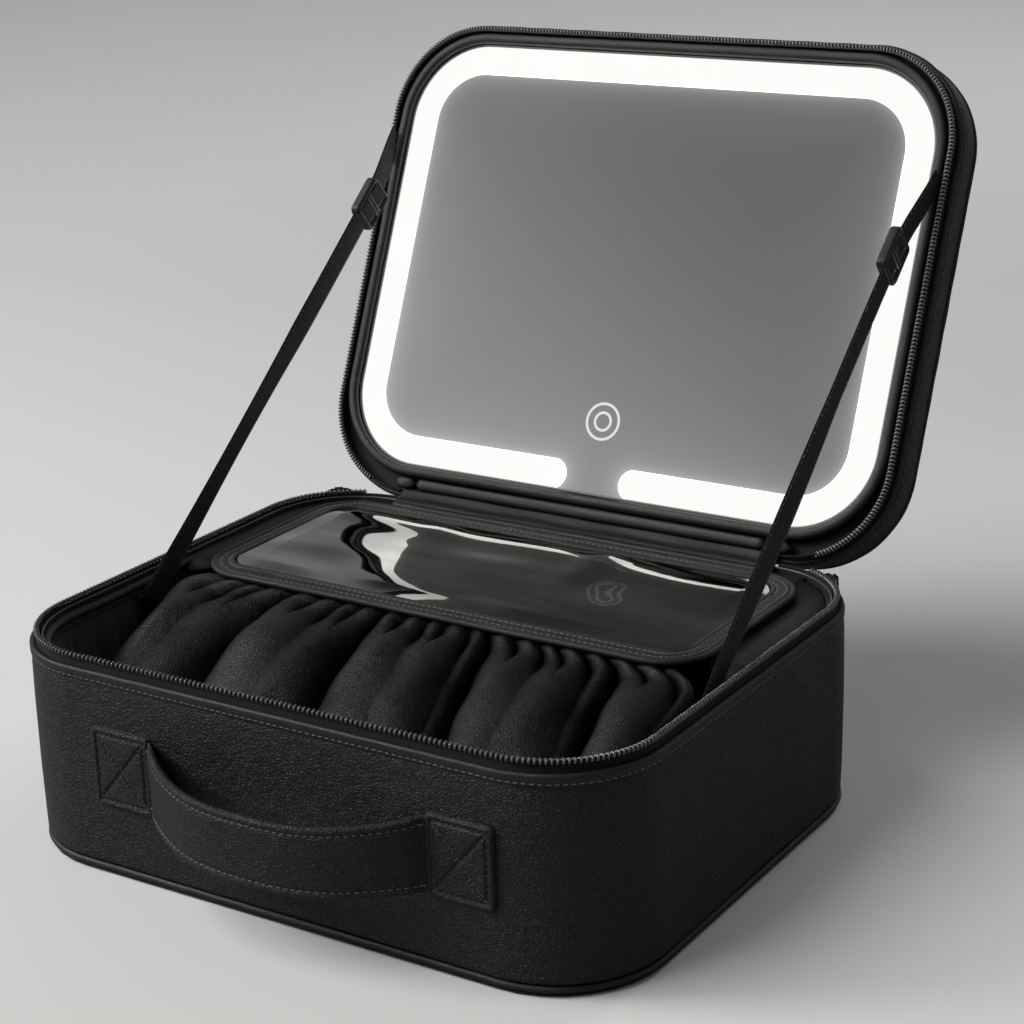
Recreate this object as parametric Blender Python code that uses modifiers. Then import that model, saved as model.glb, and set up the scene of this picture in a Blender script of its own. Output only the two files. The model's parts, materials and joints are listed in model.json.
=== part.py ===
"""Zip-around vanity case with a lighted mirror in its lid.

Frame: origin at the centre of the base's underside, -Y to the front (the handle
side), +X to the right as seen from the front, +Z up.  Lengths are millimetres
and MM turns them into metres.  The lid is modelled shut and is then swung open
about its hinge line by LID_OPEN degrees.
"""
import bpy
import bmesh
from math import sin, cos, pi, radians, hypot
from mathutils import Matrix, Vector

MM = 0.001

# ---- driving dimensions ----------------------------------------------------
CASE_W = 260.0          # outside width over the piping
CASE_D = 208.0          # outside depth of the base over the piping
LID_D = 204.9           # outside depth of the lid
CORNER_R = 41.0         # plan radius of the upright corners
CORNER_SEG = 8          # segments in a quarter circle
WALL_IN = 0.4           # the wall face stands this far behind the piping
WALL_T = 2.2            # thickness of the side walls
PANEL_IN = 0.8          # inset of the underside and of the lid's top panel
BOARD_IN = 3.0          # inset of the stiffening boards behind them
PIPE_R = 1.3            # piping bead radius
PIPE_Z = 77.4           # height of the base's upper piping
ZIP_PLANE = 84.15       # where the base coil and the lid coil meet
HINGE_Y = 99.5          # lid hinge line
HINGE_Z = ZIP_PLANE
LID_OPEN = 113.8        # angle of the lid from shut, at rest

HX, HY = CASE_W / 2, CASE_D / 2
SIDES = (("left", -1), ("right", 1))      # side name, sign of x

# ---- clean start -----------------------------------------------------------
for ob in list(bpy.data.objects):
    bpy.data.objects.remove(ob, do_unlink=True)
for store in (bpy.data.meshes, bpy.data.curves, bpy.data.materials):
    for item in list(store):
        store.remove(item)
parts = bpy.data.collections.new("vanity_case")
cutters = bpy.data.collections.new("cutters")
for collection in (parts, cutters):
    bpy.context.scene.collection.children.link(collection)


# ---- materials -------------------------------------------------------------
def material(name, colour, roughness, metallic=0.0, alpha=1.0, glow=0.0):
    mat = bpy.data.materials.new(name)
    mat.use_nodes = True
    inputs = mat.node_tree.nodes["Principled BSDF"].inputs
    inputs["Base Color"].default_value = (*colour, 1.0)
    inputs["Roughness"].default_value = roughness
    inputs["Metallic"].default_value = metallic
    inputs["Alpha"].default_value = alpha
    if glow:
        inputs["Emission Color"].default_value = (1.0, 0.98, 0.94, 1.0)
        inputs["Emission Strength"].default_value = glow
    return mat


def leather(name):
    return material(name, colour=(0.012, 0.012, 0.013), roughness=0.42)


def fabric(name):
    return material(name, colour=(0.014, 0.014, 0.015), roughness=0.85)


def plastic(name, colour=(0.02, 0.02, 0.022)):
    return material(name, colour, roughness=0.4)


def dark_metal(name):
    return material(name, colour=(0.03, 0.03, 0.03), roughness=0.35, metallic=0.9)


# ---- plan outlines ---------------------------------------------------------
def rounded(half_x, y0, y1, radius, seg=CORNER_SEG):
    """A rounded rectangle, anticlockwise, starting at its right side."""
    points = []
    for cx, cy, start in ((half_x - radius, y1 - radius, 0),
                          (-half_x + radius, y1 - radius, 90),
                          (-half_x + radius, y0 + radius, 180),
                          (half_x - radius, y0 + radius, 270)):
        points += arc(cx, cy, radius, start, start + 90.0, seg)
    return points


def arc(cx, cy, radius, start, end, seg):
    """Points along an arc, its angles in degrees."""
    angles = [radians(start + (end - start) * i / seg) for i in range(seg + 1)]
    return [(cx + radius * cos(a), cy + radius * sin(a)) for a in angles]


def base_plan(inset):
    return rounded(HX - inset, -HY + inset, HY - inset, CORNER_R - inset)


def lid_plan(inset):
    return rounded(HX - inset, -HY + inset, -HY + LID_D - inset, CORNER_R - inset)


def open_rear(loop, skip=0):
    """An outline left open along its straight rear side, from the rear left
    corner round the front to the rear right, less `skip` points at each end."""
    first = CORNER_SEG + 1                # the rear left corner starts here
    turned = loop[first:] + loop[:first]
    return turned[skip:len(turned) - skip]


def at_z(loop, z):
    return [(x, y, z) for x, y in loop]


# ---- makers ----------------------------------------------------------------
def add_object(name, data, mat):
    """Put new data, with its one material, in the scene."""
    ob = bpy.data.objects.new(name, data)
    data.name = name
    data.materials.append(mat)
    parts.objects.link(ob)
    return ob


def add_spline(curve, points, closed):
    spline = curve.splines.new("POLY")
    spline.points.add(len(points) - 1)
    for point, (x, y, z) in zip(spline.points, points):
        point.co = (x * MM, y * MM, z * MM, 1.0)
    spline.use_cyclic_u = closed


def plate(name, mat, loops, z_span):
    """A flat outline, with any holes, raised over a span of z."""
    z0, z1 = z_span
    curve = bpy.data.curves.new(name, "CURVE")
    curve.dimensions = "2D"
    curve.fill_mode = "BOTH"
    curve.extrude = (z1 - z0) / 2 * MM
    for loop in loops:
        add_spline(curve, at_z(loop, 0.0), closed=True)
    ob = add_object(name, curve, mat)
    ob.location.z = (z0 + z1) / 2 * MM
    return ob


def tube(name, mat, points, radius, closed=False, res=2):
    """A round bead, cord or wire along 3-D points."""
    curve = bpy.data.curves.new(name, "CURVE")
    curve.dimensions = "3D"
    curve.bevel_depth = radius * MM
    curve.bevel_resolution = res
    curve.use_fill_caps = not closed
    add_spline(curve, points, closed)
    return add_object(name, curve, mat)


def loft(name, mat, rings):
    """A closed skin over rings of equal count, capped at both ends."""
    bm = bmesh.new()
    rows = [[bm.verts.new((x * MM, y * MM, z * MM)) for x, y, z in ring]
            for ring in rings]
    count = len(rows[0])
    for row, following in zip(rows, rows[1:]):
        for i in range(count):
            j = (i + 1) % count
            bm.faces.new((row[i], row[j], following[j], following[i]))
    bm.faces.new(rows[0][::-1])
    bm.faces.new(rows[-1])
    bmesh.ops.recalc_face_normals(bm, faces=bm.faces[:])
    mesh = bpy.data.meshes.new(name)
    bm.to_mesh(mesh)
    bm.free()
    return add_object(name, mesh, mat)


def add_bevel(ob, width, segments):
    bevel = ob.modifiers.new("edge", "BEVEL")
    bevel.width = width * MM
    bevel.segments = segments
    bevel.limit_method = "ANGLE"
    return bevel


def block(name, mat, box, bevel=0.0, segments=2):
    """A box between its low and high corners, with its edges rounded."""
    bm = bmesh.new()
    bmesh.ops.create_cube(bm, size=1.0)
    for vert in bm.verts:
        vert.co = [((high + low) / 2 + c * (high - low)) * MM
                   for low, high, c in zip(*box, vert.co)]
    mesh = bpy.data.meshes.new(name)
    bm.to_mesh(mesh)
    bm.free()
    ob = add_object(name, mesh, mat)
    if bevel:
        add_bevel(ob, bevel, segments)
    return ob


def to_mesh(ob):
    """Turn a curve into a welded mesh of the same name, shape and place."""
    bpy.context.view_layer.update()
    depsgraph = bpy.context.evaluated_depsgraph_get()
    mesh = bpy.data.meshes.new_from_object(ob.evaluated_get(depsgraph))
    bm = bmesh.new()
    bm.from_mesh(mesh)
    bmesh.ops.remove_doubles(bm, verts=bm.verts[:], dist=1e-6)
    bmesh.ops.recalc_face_normals(bm, faces=bm.faces[:])
    bm.to_mesh(mesh)
    bm.free()
    name, curve, place = ob.name, ob.data, ob.matrix_world.copy()
    mat = curve.materials[0]
    bpy.data.objects.remove(ob, do_unlink=True)
    bpy.data.curves.remove(curve)
    mesh.materials.clear()
    solid = add_object(name, mesh, mat)
    solid.matrix_world = place
    return solid


def combine(ob, helper, modifier_name, operation):
    """Add a boolean with a helper, which moves to the cutters collection."""
    parts.objects.unlink(helper)
    cutters.objects.link(helper)
    helper.hide_render = True
    helper.display_type = "WIRE"
    boolean = ob.modifiers.new(modifier_name, "BOOLEAN")
    boolean.operation = operation
    boolean.solver = "EXACT"
    boolean.object = helper


def add_pivot(name, x, y, z):
    pivot = bpy.data.objects.new(name, None)
    pivot.empty_display_size = 0.02
    pivot.location = (x * MM, y * MM, z * MM)
    parts.objects.link(pivot)
    return pivot


def hang(pivot, *obs):
    """Parent objects to a pivot without moving them."""
    bpy.context.view_layer.update()
    for ob in obs:
        ob.parent = pivot
        ob.matrix_parent_inverse = pivot.matrix_world.inverted()


def placed(x_axis, y_axis, z_axis, origin):
    """The matrix that puts local axes and origin at these places."""
    matrix = Matrix((x_axis, y_axis, z_axis)).transposed().to_4x4()
    matrix.translation = origin * MM
    return matrix


# ======================= base shell =========================================
# Spans of z, bottom and top
UNDERSIDE_Z = (0.0, 1.0)
FLOOR_BOARD_Z = (1.3, 3.9)
BASE_WALL_Z = (4.2, 75.6)
BOTTOM_PIPE_Z = 2.6


def wall_loops(plan):
    return [plan(WALL_IN), plan(WALL_IN + WALL_T)]


def piping(name, mat, plan, z):
    return tube(name, mat, at_z(plan(PIPE_R), z), PIPE_R, closed=True)


def build_base_shell():
    plate("base_underside", leather("underside_leather"), [base_plan(PANEL_IN)],
          UNDERSIDE_Z)
    piping("base_bottom_piping", leather("bottom_piping_leather"), base_plan,
           BOTTOM_PIPE_Z)
    plate("base_floor_board", fabric("floor_board_card"), [base_plan(BOARD_IN)],
          FLOOR_BOARD_Z)
    plate("base_wall", leather("base_wall_leather"), wall_loops(base_plan), BASE_WALL_Z)
    piping("base_top_piping", leather("top_piping_leather"), base_plan, PIPE_Z)


# ======================= zip ================================================
COIL_R = 1.35           # coil radius
COIL_IN = 2.9           # the coil's centre line, inwards from the outside
COIL_RISE = 0.2 + COIL_R        # coil centres, either side of the zip plane
COIL_SKIP = 2           # the coils stop this many corner steps short of the rear
TAPE_T = 0.6
BASE_TAPE_Z = (66.0, 81.0)
LID_TAPE_Z = (87.4, 99.0)


def build_zip_half(half, plan, tape_z, coil_z):
    """One half's tape and coil."""
    tape_loop = open_rear(plan(COIL_IN)) + open_rear(plan(COIL_IN + TAPE_T))[::-1]
    tape = plate(half + "_zip_tape", fabric(half + "_zip_fabric"), [tape_loop], tape_z)
    coil = tube(half + "_zip_coil", plastic(half + "_coil_nylon"),
                at_z(open_rear(plan(COIL_IN), COIL_SKIP), coil_z), COIL_R, res=1)
    return [tape, coil]


# ======================= lining =============================================
RIBS, RIB_DEPTH = 10, 0.9       # upright padded channels along each side wall
RIB_STEPS = 4                   # outline steps in each channel
LINING_IN = (3.9, 5.1)          # outer and inner insets of the lining wall
LINING_WALL_Z = (4.2, 74.0)
LINING_FLOOR_IN, LINING_FLOOR_Z = 6.4, (4.2, 5.4)
BINDING_IN, BINDING_Z, BINDING_R = 5.8, 74.95, 0.6
RIM_IN, RIM_Z, RIM_R = 6.4, 77.6, 1.8
PAD_IN, PAD_Z = 9.0, (5.7, 8.7)


def ribbed_plan(inset):
    """The base outline with scallops along its left and right sides."""
    loop = base_plan(inset)
    per_corner = CORNER_SEG + 1
    straight = HY - CORNER_R
    outline = []
    for corner in range(4):
        outline += loop[corner * per_corner:(corner + 1) * per_corner]
        if corner not in (1, 3):
            continue
        # corner 1 leads forward down the left side, corner 3 back up the right
        side = -1 if corner == 1 else 1
        steps = RIBS * RIB_STEPS
        for i in range(1, steps):
            t = i / steps
            depth = RIB_DEPTH * abs(sin(pi * t * RIBS))
            outline.append((side * (HX - inset - depth), -side * straight * (1 - 2 * t)))
    return outline


def build_lining():
    outer_in, inner_in = LINING_IN
    plate("base_lining_wall", fabric("lining_wall_cloth"),
          [base_plan(outer_in), ribbed_plan(inner_in)], LINING_WALL_Z)
    plate("base_lining_floor", fabric("lining_floor_cloth"),
          [base_plan(LINING_FLOOR_IN)], LINING_FLOOR_Z)
    tube("base_inner_binding", fabric("inner_binding_tape"),
         at_z(base_plan(BINDING_IN), BINDING_Z), BINDING_R, closed=True, res=1)
    tube("base_rim_roll", leather("rim_roll_leather"),
         at_z(base_plan(RIM_IN), RIM_Z), RIM_R, closed=True)
    plate("floor_pad", fabric("floor_pad_cloth"), [base_plan(PAD_IN)], PAD_Z)


# ======================= dividers ===========================================
DIVIDER_T = 4.0
DIVIDER_Z = (9.0, 72.0)
DIVIDER_BEVEL = 1.2
LONG_HALF_X, LONG_Y0 = 117, -12.2       # the divider that runs left to right
CROSS_X, CROSS_Y = 38.0, (-7.6, 91.0)   # the two that run front to back


def build_divider(name, x_span, y_span):
    box = tuple(zip(x_span, y_span, DIVIDER_Z))
    block(name, fabric(name + "_cloth"), box, bevel=DIVIDER_BEVEL)


def build_dividers():
    build_divider("divider_long", (-LONG_HALF_X, LONG_HALF_X),
                  (LONG_Y0, LONG_Y0 + DIVIDER_T))
    for side, sign in SIDES:
        x = sign * CROSS_X
        build_divider("divider_" + side, (x - DIVIDER_T / 2, x + DIVIDER_T / 2), CROSS_Y)


# ======================= handle =============================================
HANDLE_X = 6.0          # the handle's middle
HANDLE_HALF = 71.5      # from there to the middle of each patch
HANDLE_Z = 44.0
PATCH_W, PATCH_H, PATCH_T = 26.0, 30.0, 1.5
PATCH_R, PATCH_SEG = 2.5, 3
PATCH_GAP = 0.3         # between a patch and the wall
HANDLE_SPAN = HANDLE_HALF - PATCH_W / 2     # half the free length
GRIP_STAND = 1.8        # centre line's distance from the case front at t = +-1
GRIP_REACH = 22.0       # how much further it bows out at its middle
GRIP_DROOP = 3.2        # how far its middle hangs
GRIP_HALF_H = 14.0      # half height at t = +-1
GRIP_WAIST = 1.0        # taken off the half height at the middle
GRIP_HALF_T = 1.3
GRIP_END = 0.94         # the strap stops here, as a fraction of HANDLE_SPAN
GRIP_STEPS = 20
HANDLE_PIVOT_OUT = 1.0  # the pivot's distance in front of the case
# section: outward and upward, as fractions of the half sizes
GRIP_SECTION = ((-1, -1), (-0.3, -1.02), (1, -0.95), (1, 0.95), (-0.3, 1.02), (-1, 1))


def grip_centre(t):
    """Middle line of the grip strap, t from -1 to 1."""
    bow = 1 - abs(t) ** 2.6
    return (HANDLE_X + t * HANDLE_SPAN,
            -HY - GRIP_STAND - GRIP_REACH * bow ** 1.15,
            HANDLE_Z - GRIP_DROOP * bow)


def grip_ring(t):
    x, y, z = grip_centre(t)
    xa, ya, _ = grip_centre(t - 0.01)
    xb, yb, _ = grip_centre(t + 0.01)
    length = hypot(xb - xa, yb - ya)
    out_x, out_y = (yb - ya) / length, -(xb - xa) / length
    half_h = GRIP_HALF_H - GRIP_WAIST * (1 - abs(t) ** 4)
    return [(x + out_x * GRIP_HALF_T * a, y + out_y * GRIP_HALF_T * a, z + half_h * b)
            for a, b in GRIP_SECTION]


def build_handle():
    for side, sign in SIDES:
        name = "handle_patch_" + side
        outline = rounded(PATCH_W / 2, -PATCH_H / 2, PATCH_H / 2, PATCH_R, PATCH_SEG)
        patch = plate(name, leather(name + "_leather"), [outline],
                      (-PATCH_T / 2, PATCH_T / 2))
        patch.location = ((HANDLE_X + sign * HANDLE_HALF) * MM,
                          (-HY + WALL_IN - PATCH_GAP - PATCH_T / 2) * MM,
                          HANDLE_Z * MM)
        patch.rotation_euler.x = pi / 2
    rings = [grip_ring(GRIP_END * (-1 + 2 * i / GRIP_STEPS))
             for i in range(GRIP_STEPS + 1)]
    strap = loft("handle_strap", leather("handle_leather"), rings)
    hang(add_pivot("handle_pivot", HANDLE_X, -HY - HANDLE_PIVOT_OUT, HANDLE_Z), strap)


# ======================= window flap ========================================
FLAP_HX, FLAP_Y0, FLAP_Y1, FLAP_R = 110.5, -10.0, 88.0, 20.0
FLAP_HINGE_Y, FLAP_HINGE_Z = 88.2, 81.4
FLAP_PANEL_IN = 2.9     # inset of the board and frame from the binding's outside
FLAP_FRAME_IN = 9.0     # inset of the frame's opening
WINDOW_GAP = 0.3        # between the frame's opening and the film
WINDOW_SOFTEN = 3.0     # extra corner radius of the opening and the film
FLAP_BOARD_Z = (80.2, 82.2)
FLAP_FRAME_Z = (82.5, 83.4)
WINDOW_Z = (82.5, 82.9)
FLAP_BINDING_Z = 81.9
FLAP_TAPE_HX, FLAP_TAPE_Y, FLAP_TAPE_Z = 95, (88.6, 95.0), (79.55, 80.25)

# gathered skirt, from the flap's front edge down: y, z, half width
SKIRT = ((-10.6, 80.9, 101.0), (-16.0, 82.1, 105.0), (-28.0, 81.6, 109.0),
         (-45.0, 78.4, 112.0), (-62.0, 72.8, 112.0), (-75.0, 65.4, 108.5),
         (-84.0, 56.5, 102.0), (-88.4, 46.0, 96.0))
# stations across the skirt, as fractions of its half width
SKIRT_ACROSS = (-1.0, -0.94, -0.8, -0.6, -0.4, -0.2, 0.0,
                0.2, 0.4, 0.6, 0.8, 0.94, 1.0)
SKIRT_HALF_T = 1.0
SKIRT_EDGE_DROP = 2.2   # how far its side edges fall


def flap_plan(inset, soften=0.0):
    return rounded(FLAP_HX - inset, FLAP_Y0 + inset, FLAP_Y1 - inset,
                   FLAP_R - inset + soften)


def build_skirt():
    rings = []
    for across in SKIRT_ACROSS:
        drop = SKIRT_EDGE_DROP * abs(across) ** 8
        under, over = [], []
        for i, (y, z, half_x) in enumerate(SKIRT):
            before = SKIRT[max(i - 1, 0)]
            after = SKIRT[min(i + 1, len(SKIRT) - 1)]
            dy, dz = after[0] - before[0], after[1] - before[1]
            length = hypot(dy, dz)
            off_y, off_z = dz / length * SKIRT_HALF_T, -dy / length * SKIRT_HALF_T
            over.append((across * half_x, y + off_y, z + off_z - drop))
            under.append((across * half_x, y - off_y, z - off_z - drop))
        rings.append(over + under[::-1])
    return loft("gathered_skirt", leather("skirt_leather"), rings)


def build_flap():
    film = material("clear_film", colour=(0.8, 0.8, 0.8), roughness=0.05, alpha=0.25)
    flap_parts = [
        plate("flap_board", fabric("flap_board_cloth"), [flap_plan(FLAP_PANEL_IN)],
              FLAP_BOARD_Z),
        plate("flap_frame", leather("flap_frame_leather"),
              [flap_plan(FLAP_PANEL_IN), flap_plan(FLAP_FRAME_IN, WINDOW_SOFTEN)],
              FLAP_FRAME_Z),
        plate("flap_window", film,
              [flap_plan(FLAP_FRAME_IN + WINDOW_GAP, WINDOW_SOFTEN)], WINDOW_Z),
        piping("flap_binding", leather("flap_binding_leather"), flap_plan,
               FLAP_BINDING_Z),
        build_skirt(),
    ]
    hang(add_pivot("flap_pivot", 0, FLAP_HINGE_Y, FLAP_HINGE_Z), *flap_parts)
    y0, y1 = FLAP_TAPE_Y
    tape = [(-FLAP_TAPE_HX, y0), (FLAP_TAPE_HX, y0), (FLAP_TAPE_HX, y1), (-FLAP_TAPE_HX, y1)]
    plate("flap_hinge_tape", leather("flap_hinge_leather"), [tape], FLAP_TAPE_Z)


# ======================= lid shell (shut) ===================================
LID_PIPE_Z = 2 * ZIP_PLANE - PIPE_Z     # mirrors the base's upper piping
LID_BACK_PIPE_Z = 105.7
LID_WALL_Z = (92.5, 104.1)
LID_BOARD_Z = (104.8, 107.0)
LID_PANEL_Z = (107.3, 108.5)            # its top is the closed case's height
HINGE_RIB_BOX = ((-86, 91.3, 86.2), (86, 96.4, 89.2))


def build_lid_shell():
    return [
        piping("lid_piping", leather("lid_piping_leather"), lid_plan, LID_PIPE_Z),
        plate("lid_wall", leather("lid_wall_leather"), wall_loops(lid_plan), LID_WALL_Z),
        piping("lid_back_piping", leather("lid_back_piping_leather"), lid_plan,
               LID_BACK_PIPE_Z),
        plate("lid_back_panel", leather("lid_back_leather"), [lid_plan(PANEL_IN)],
              LID_PANEL_Z),
        plate("lid_back_board", fabric("lid_back_card"), [lid_plan(BOARD_IN)],
              LID_BOARD_Z),
        block("lid_hinge_rib", leather("hinge_rib_leather"), HINGE_RIB_BOX, bevel=1.3),
    ]


# ======================= mirror and light (lid shut) ========================
LED_HW, LED_HD = 119.8, 90.4    # light band, outer half width and half depth
LED_CY = -4.0           # its centre
LED_R = 33.0            # its outer corner radius
LED_BAND = 11.8         # its width
LED_GAP = 12.4          # half the clear gap in the band
BAND_END_SEG = 8        # segments in the band's round ends
GLASS_Z, GLASS_T = 88.7, 2.5    # front face and thickness of mirror and diffuser
GLASS_GAP = 0.3         # between the mirror and the band
# insets from the light band's outline; negative is outside it
BEZEL_IN, BEZEL_Z = (-3.6, -0.6), (86.1, 88.4)
TRAY_IN, TRAY_TOP = -1.5, 99.5
WELL_IN, WELL_TOP = -0.3, 98.3
WELL_OVERCUT = 2        # the cutter starts this far in front of the tray
STRIP_IN, STRIP_Z = (3.0, 9.0), (93.6, 94.4)
STRIP_EXTRA_GAP = 4     # added to LED_GAP
FOAM_HX, FOAM_HD, FOAM_R, FOAM_SEG = 80, 55, 8, 3
FOAM_Z = (99.8, 104.5)


def led_plan(inset):
    return rounded(LED_HW - inset, LED_CY - LED_HD + inset, LED_CY + LED_HD - inset,
                   LED_R - inset)


def band_end(outer_in, inner_in, gap):
    """Centre x, y and radius of a band's round right end."""
    outer_y = LED_CY + LED_HD - outer_in
    inner_y = LED_CY + LED_HD - inner_in
    radius = (outer_y - inner_y) / 2
    return gap + radius, (outer_y + inner_y) / 2, radius


def band_loop(outer_in, inner_in, gap):
    """A C-shaped band, open at the rear between -gap and gap, ends round."""
    x, y, radius = band_end(outer_in, inner_in, gap)
    right = arc(x, y, radius, 90, 270, BAND_END_SEG)
    left = arc(-x, y, radius, -90, 90, BAND_END_SEG)
    return (open_rear(led_plan(outer_in)) + right
            + open_rear(led_plan(inner_in))[::-1] + left)


def mirror_loop():
    """The area inside the band, with a tongue back through its gap."""
    x, y, radius = band_end(0, LED_BAND, LED_GAP)
    radius += GLASS_GAP
    right = arc(x, y, radius, 265, 100, BAND_END_SEG)
    left = arc(-x, y, radius, 80, -85, BAND_END_SEG)
    return open_rear(led_plan(LED_BAND + GLASS_GAP)) + right + left


def build_tray():
    """An open-fronted dish, and the cutter that hollows it."""
    tray = to_mesh(plate("mirror_tray", plastic("tray_plastic", (0.05, 0.05, 0.05)),
                         [led_plan(TRAY_IN)], (GLASS_Z, TRAY_TOP)))
    well = to_mesh(plate("tray_well", plastic("tray_cut"), [led_plan(WELL_IN)],
                         (GLASS_Z - WELL_OVERCUT, WELL_TOP)))
    combine(tray, well, "cut", "DIFFERENCE")
    return [tray, well]


def build_mirror():
    foam = material("mount_foam_pad", colour=(0.03, 0.03, 0.03), roughness=0.9)
    acrylic = material("diffuser_acrylic", colour=(0.95, 0.95, 0.92), roughness=0.4,
                       glow=6.0)
    silver = material("mirror_silver", colour=(0.9, 0.9, 0.9), roughness=0.02,
                      metallic=1.0)
    glass_z = (GLASS_Z, GLASS_Z + GLASS_T)
    return build_tray() + [
        plate("mirror_mount_foam", foam,
              [rounded(FOAM_HX, LED_CY - FOAM_HD, LED_CY + FOAM_HD, FOAM_R, FOAM_SEG)],
              FOAM_Z),
        plate("mirror_bezel", leather("bezel_leather"), [led_plan(i) for i in BEZEL_IN],
              BEZEL_Z),
        plate("light_diffuser", acrylic, [band_loop(0, LED_BAND, LED_GAP)], glass_z),
        plate("mirror_glass", silver, [mirror_loop()], glass_z),
        plate("led_strip", plastic("led_strip_board", (0.7, 0.7, 0.65)),
              [band_loop(*STRIP_IN, LED_GAP + STRIP_EXTRA_GAP)], STRIP_Z),
    ]


# ======================= electrics (lid shut) ===============================
TOUCH_Y = HINGE_Y - 42.8
TOUCH_R, TOUCH_SEG, TOUCH_Z = 6.5, 24, (91.5, 93.0)
BOARD_BOX = ((-22, TOUCH_Y - 13, 93.3), (22, TOUCH_Y + 13, 94.6))
BATTERY_BOX = ((-35, -48, 92.8), (35, 2, 97.4))
PORT_BOX = ((54, 78.6, 94.9), (63, 86.0, 98.0))
# name, colour, radius, points (x, y, z)
LEADS = (
    ("battery_lead", (0.3, 0.01, 0.01), 0.7,
     ((-8, 2.8, 95.4), (-8, 12, 95.4), (-11, 22, 95.6), (-11, 34, 95.4),
      (-9, 43, 95.6), (-9, 50, 95.6))),
    ("led_lead", (0.5, 0.5, 0.5), 0.6,
     ((22.6, 60, 94.0), (30, 62, 94.6), (36, 68, 95.4), (38, 76, 95.4),
      (38, 81, 95.4))),
    ("port_lead", (0.02, 0.02, 0.02), 0.7,
     ((22.6, 52, 94.0), (34, 52, 94.6), (48, 56, 96.4), (57, 66, 96.4),
      (58.5, 78.0, 96.4))),
)


def build_electrics():
    steel = material("port_steel", colour=(0.6, 0.6, 0.6), roughness=0.3, metallic=1.0)
    made = [
        block("control_board", plastic("board_green", (0.02, 0.12, 0.05)), BOARD_BOX),
        plate("touch_sensor", plastic("sensor_pad", (0.6, 0.5, 0.2)),
              [arc(0, TOUCH_Y, TOUCH_R, 0, 360, TOUCH_SEG)[:-1]], TOUCH_Z),
        block("battery_cell", plastic("cell_wrap", (0.35, 0.36, 0.4)), BATTERY_BOX,
              bevel=1.6),
        block("charge_port", steel, PORT_BOX, bevel=1.0),
    ]
    for name, colour, radius, points in LEADS:
        made.append(tube(name, plastic(name + "_sheath", colour), points, radius, res=1))
    return made


# ======================= straps and buckles (lid open) ======================
LEAN = radians(LID_OPEN - 90)
LID_UP = Vector((0, sin(LEAN), cos(LEAN)))      # up the open lid
LID_FACE = Vector((0, -cos(LEAN), sin(LEAN)))   # out of its inner face
STRAP_UP = 151.0                # strap root, along the lid from the hinge
STRAP_TOP = Vector((0, HINGE_Y, HINGE_Z)) + LID_UP * STRAP_UP - LID_FACE * 0.5
STRAP_LOW = Vector((0, -21.5, 72.0))            # its end inside the base
STRAP_RUN = STRAP_LOW - STRAP_TOP
STRAP_DOWN = STRAP_RUN.normalized()
STRAP_ACROSS = Vector((0, STRAP_DOWN.z, -STRAP_DOWN.y))
STRAP_W, STRAP_T = 9.0, 0.8
BUCKLE_AT = 37.0                # the buckle's middle, down the strap
BUCKLE_X = 119.6
# distance down the strap, distance from the case's middle plane
STRAP_STATIONS = ((0.0, 124.8), (BUCKLE_AT - 10, 120.4), (BUCKLE_AT + 12, 120.1),
                  (STRAP_RUN.length, 120.9))
# buckle outline and its two windows: half width, y0, y1, corner radius, segments
BUCKLE_LOOPS = ((7.4, -9.6, 9.6, 2.8, 3), (5.0, 1.9, 6.6, 1.0, 2),
                (5.0, -6.6, -1.9, 1.0, 2))
BUCKLE_Z = (-2.0, 2.0)
SLOT_BOX = ((-5.2, -12, -0.35), (5.2, 12, 1.25))        # in the buckle's own frame
TAB_HALF = 6                    # half length of the tabs at the strap ends
# tabs: x span on the right, z span
BASE_TAB_X, BASE_TAB_Z = (121.9, 123.1), (62.0, 74.0)
LID_TAB_X, LID_TAB_Z = (124.3, 125.6), (90.6, 99.0)


def build_strap(side, sign):
    rings = []
    for distance, x in STRAP_STATIONS:
        centre = STRAP_TOP + STRAP_DOWN * distance
        rings.append([Vector((sign * x + a * STRAP_T / 2, centre.y, centre.z))
                      + STRAP_ACROSS * b * STRAP_W / 2
                      for a, b in ((-1, -1), (1, -1), (1, 1), (-1, 1))])
    loft("strap_" + side, fabric("strap_" + side + "_webbing"), rings)


def build_buckle(side, sign):
    name = "buckle_" + side
    buckle = to_mesh(plate(name, plastic(name + "_nylon"),
                           [rounded(*loop) for loop in BUCKLE_LOOPS], BUCKLE_Z))
    add_bevel(buckle, width=0.5, segments=1).angle_limit = radians(60)
    slot = block(name + "_slot", plastic(name + "_cut"), SLOT_BOX)
    combine(buckle, slot, "cut", "DIFFERENCE")
    centre = STRAP_TOP + STRAP_DOWN * BUCKLE_AT
    # local x is across the strap, local y is down it, local z is outboard
    place = placed(STRAP_ACROSS * sign, STRAP_DOWN, Vector((sign, 0, 0)),
                   Vector((sign * BUCKLE_X, centre.y, centre.z)))
    buckle.matrix_world = place
    slot.matrix_world = place


def build_tab(end, side, sign, x_span, y, z_span):
    xs = sorted(sign * x for x in x_span)
    box = tuple(zip(xs, (y - TAB_HALF, y + TAB_HALF), z_span))
    return block(f"strap_tab_{end}_{side}", fabric(f"{end}_tab_cloth_{side}"), box,
                 bevel=0.4, segments=1)


def build_straps():
    """Straps, buckles and base tabs, which stay with the base."""
    for side, sign in SIDES:
        build_strap(side, sign)
        build_buckle(side, sign)
        build_tab("base", side, sign, BASE_TAB_X, STRAP_LOW.y, BASE_TAB_Z)


def build_lid_tabs():
    return [build_tab("lid", side, sign, LID_TAB_X, HINGE_Y - STRAP_UP, LID_TAB_Z)
            for side, sign in SIDES]


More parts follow.
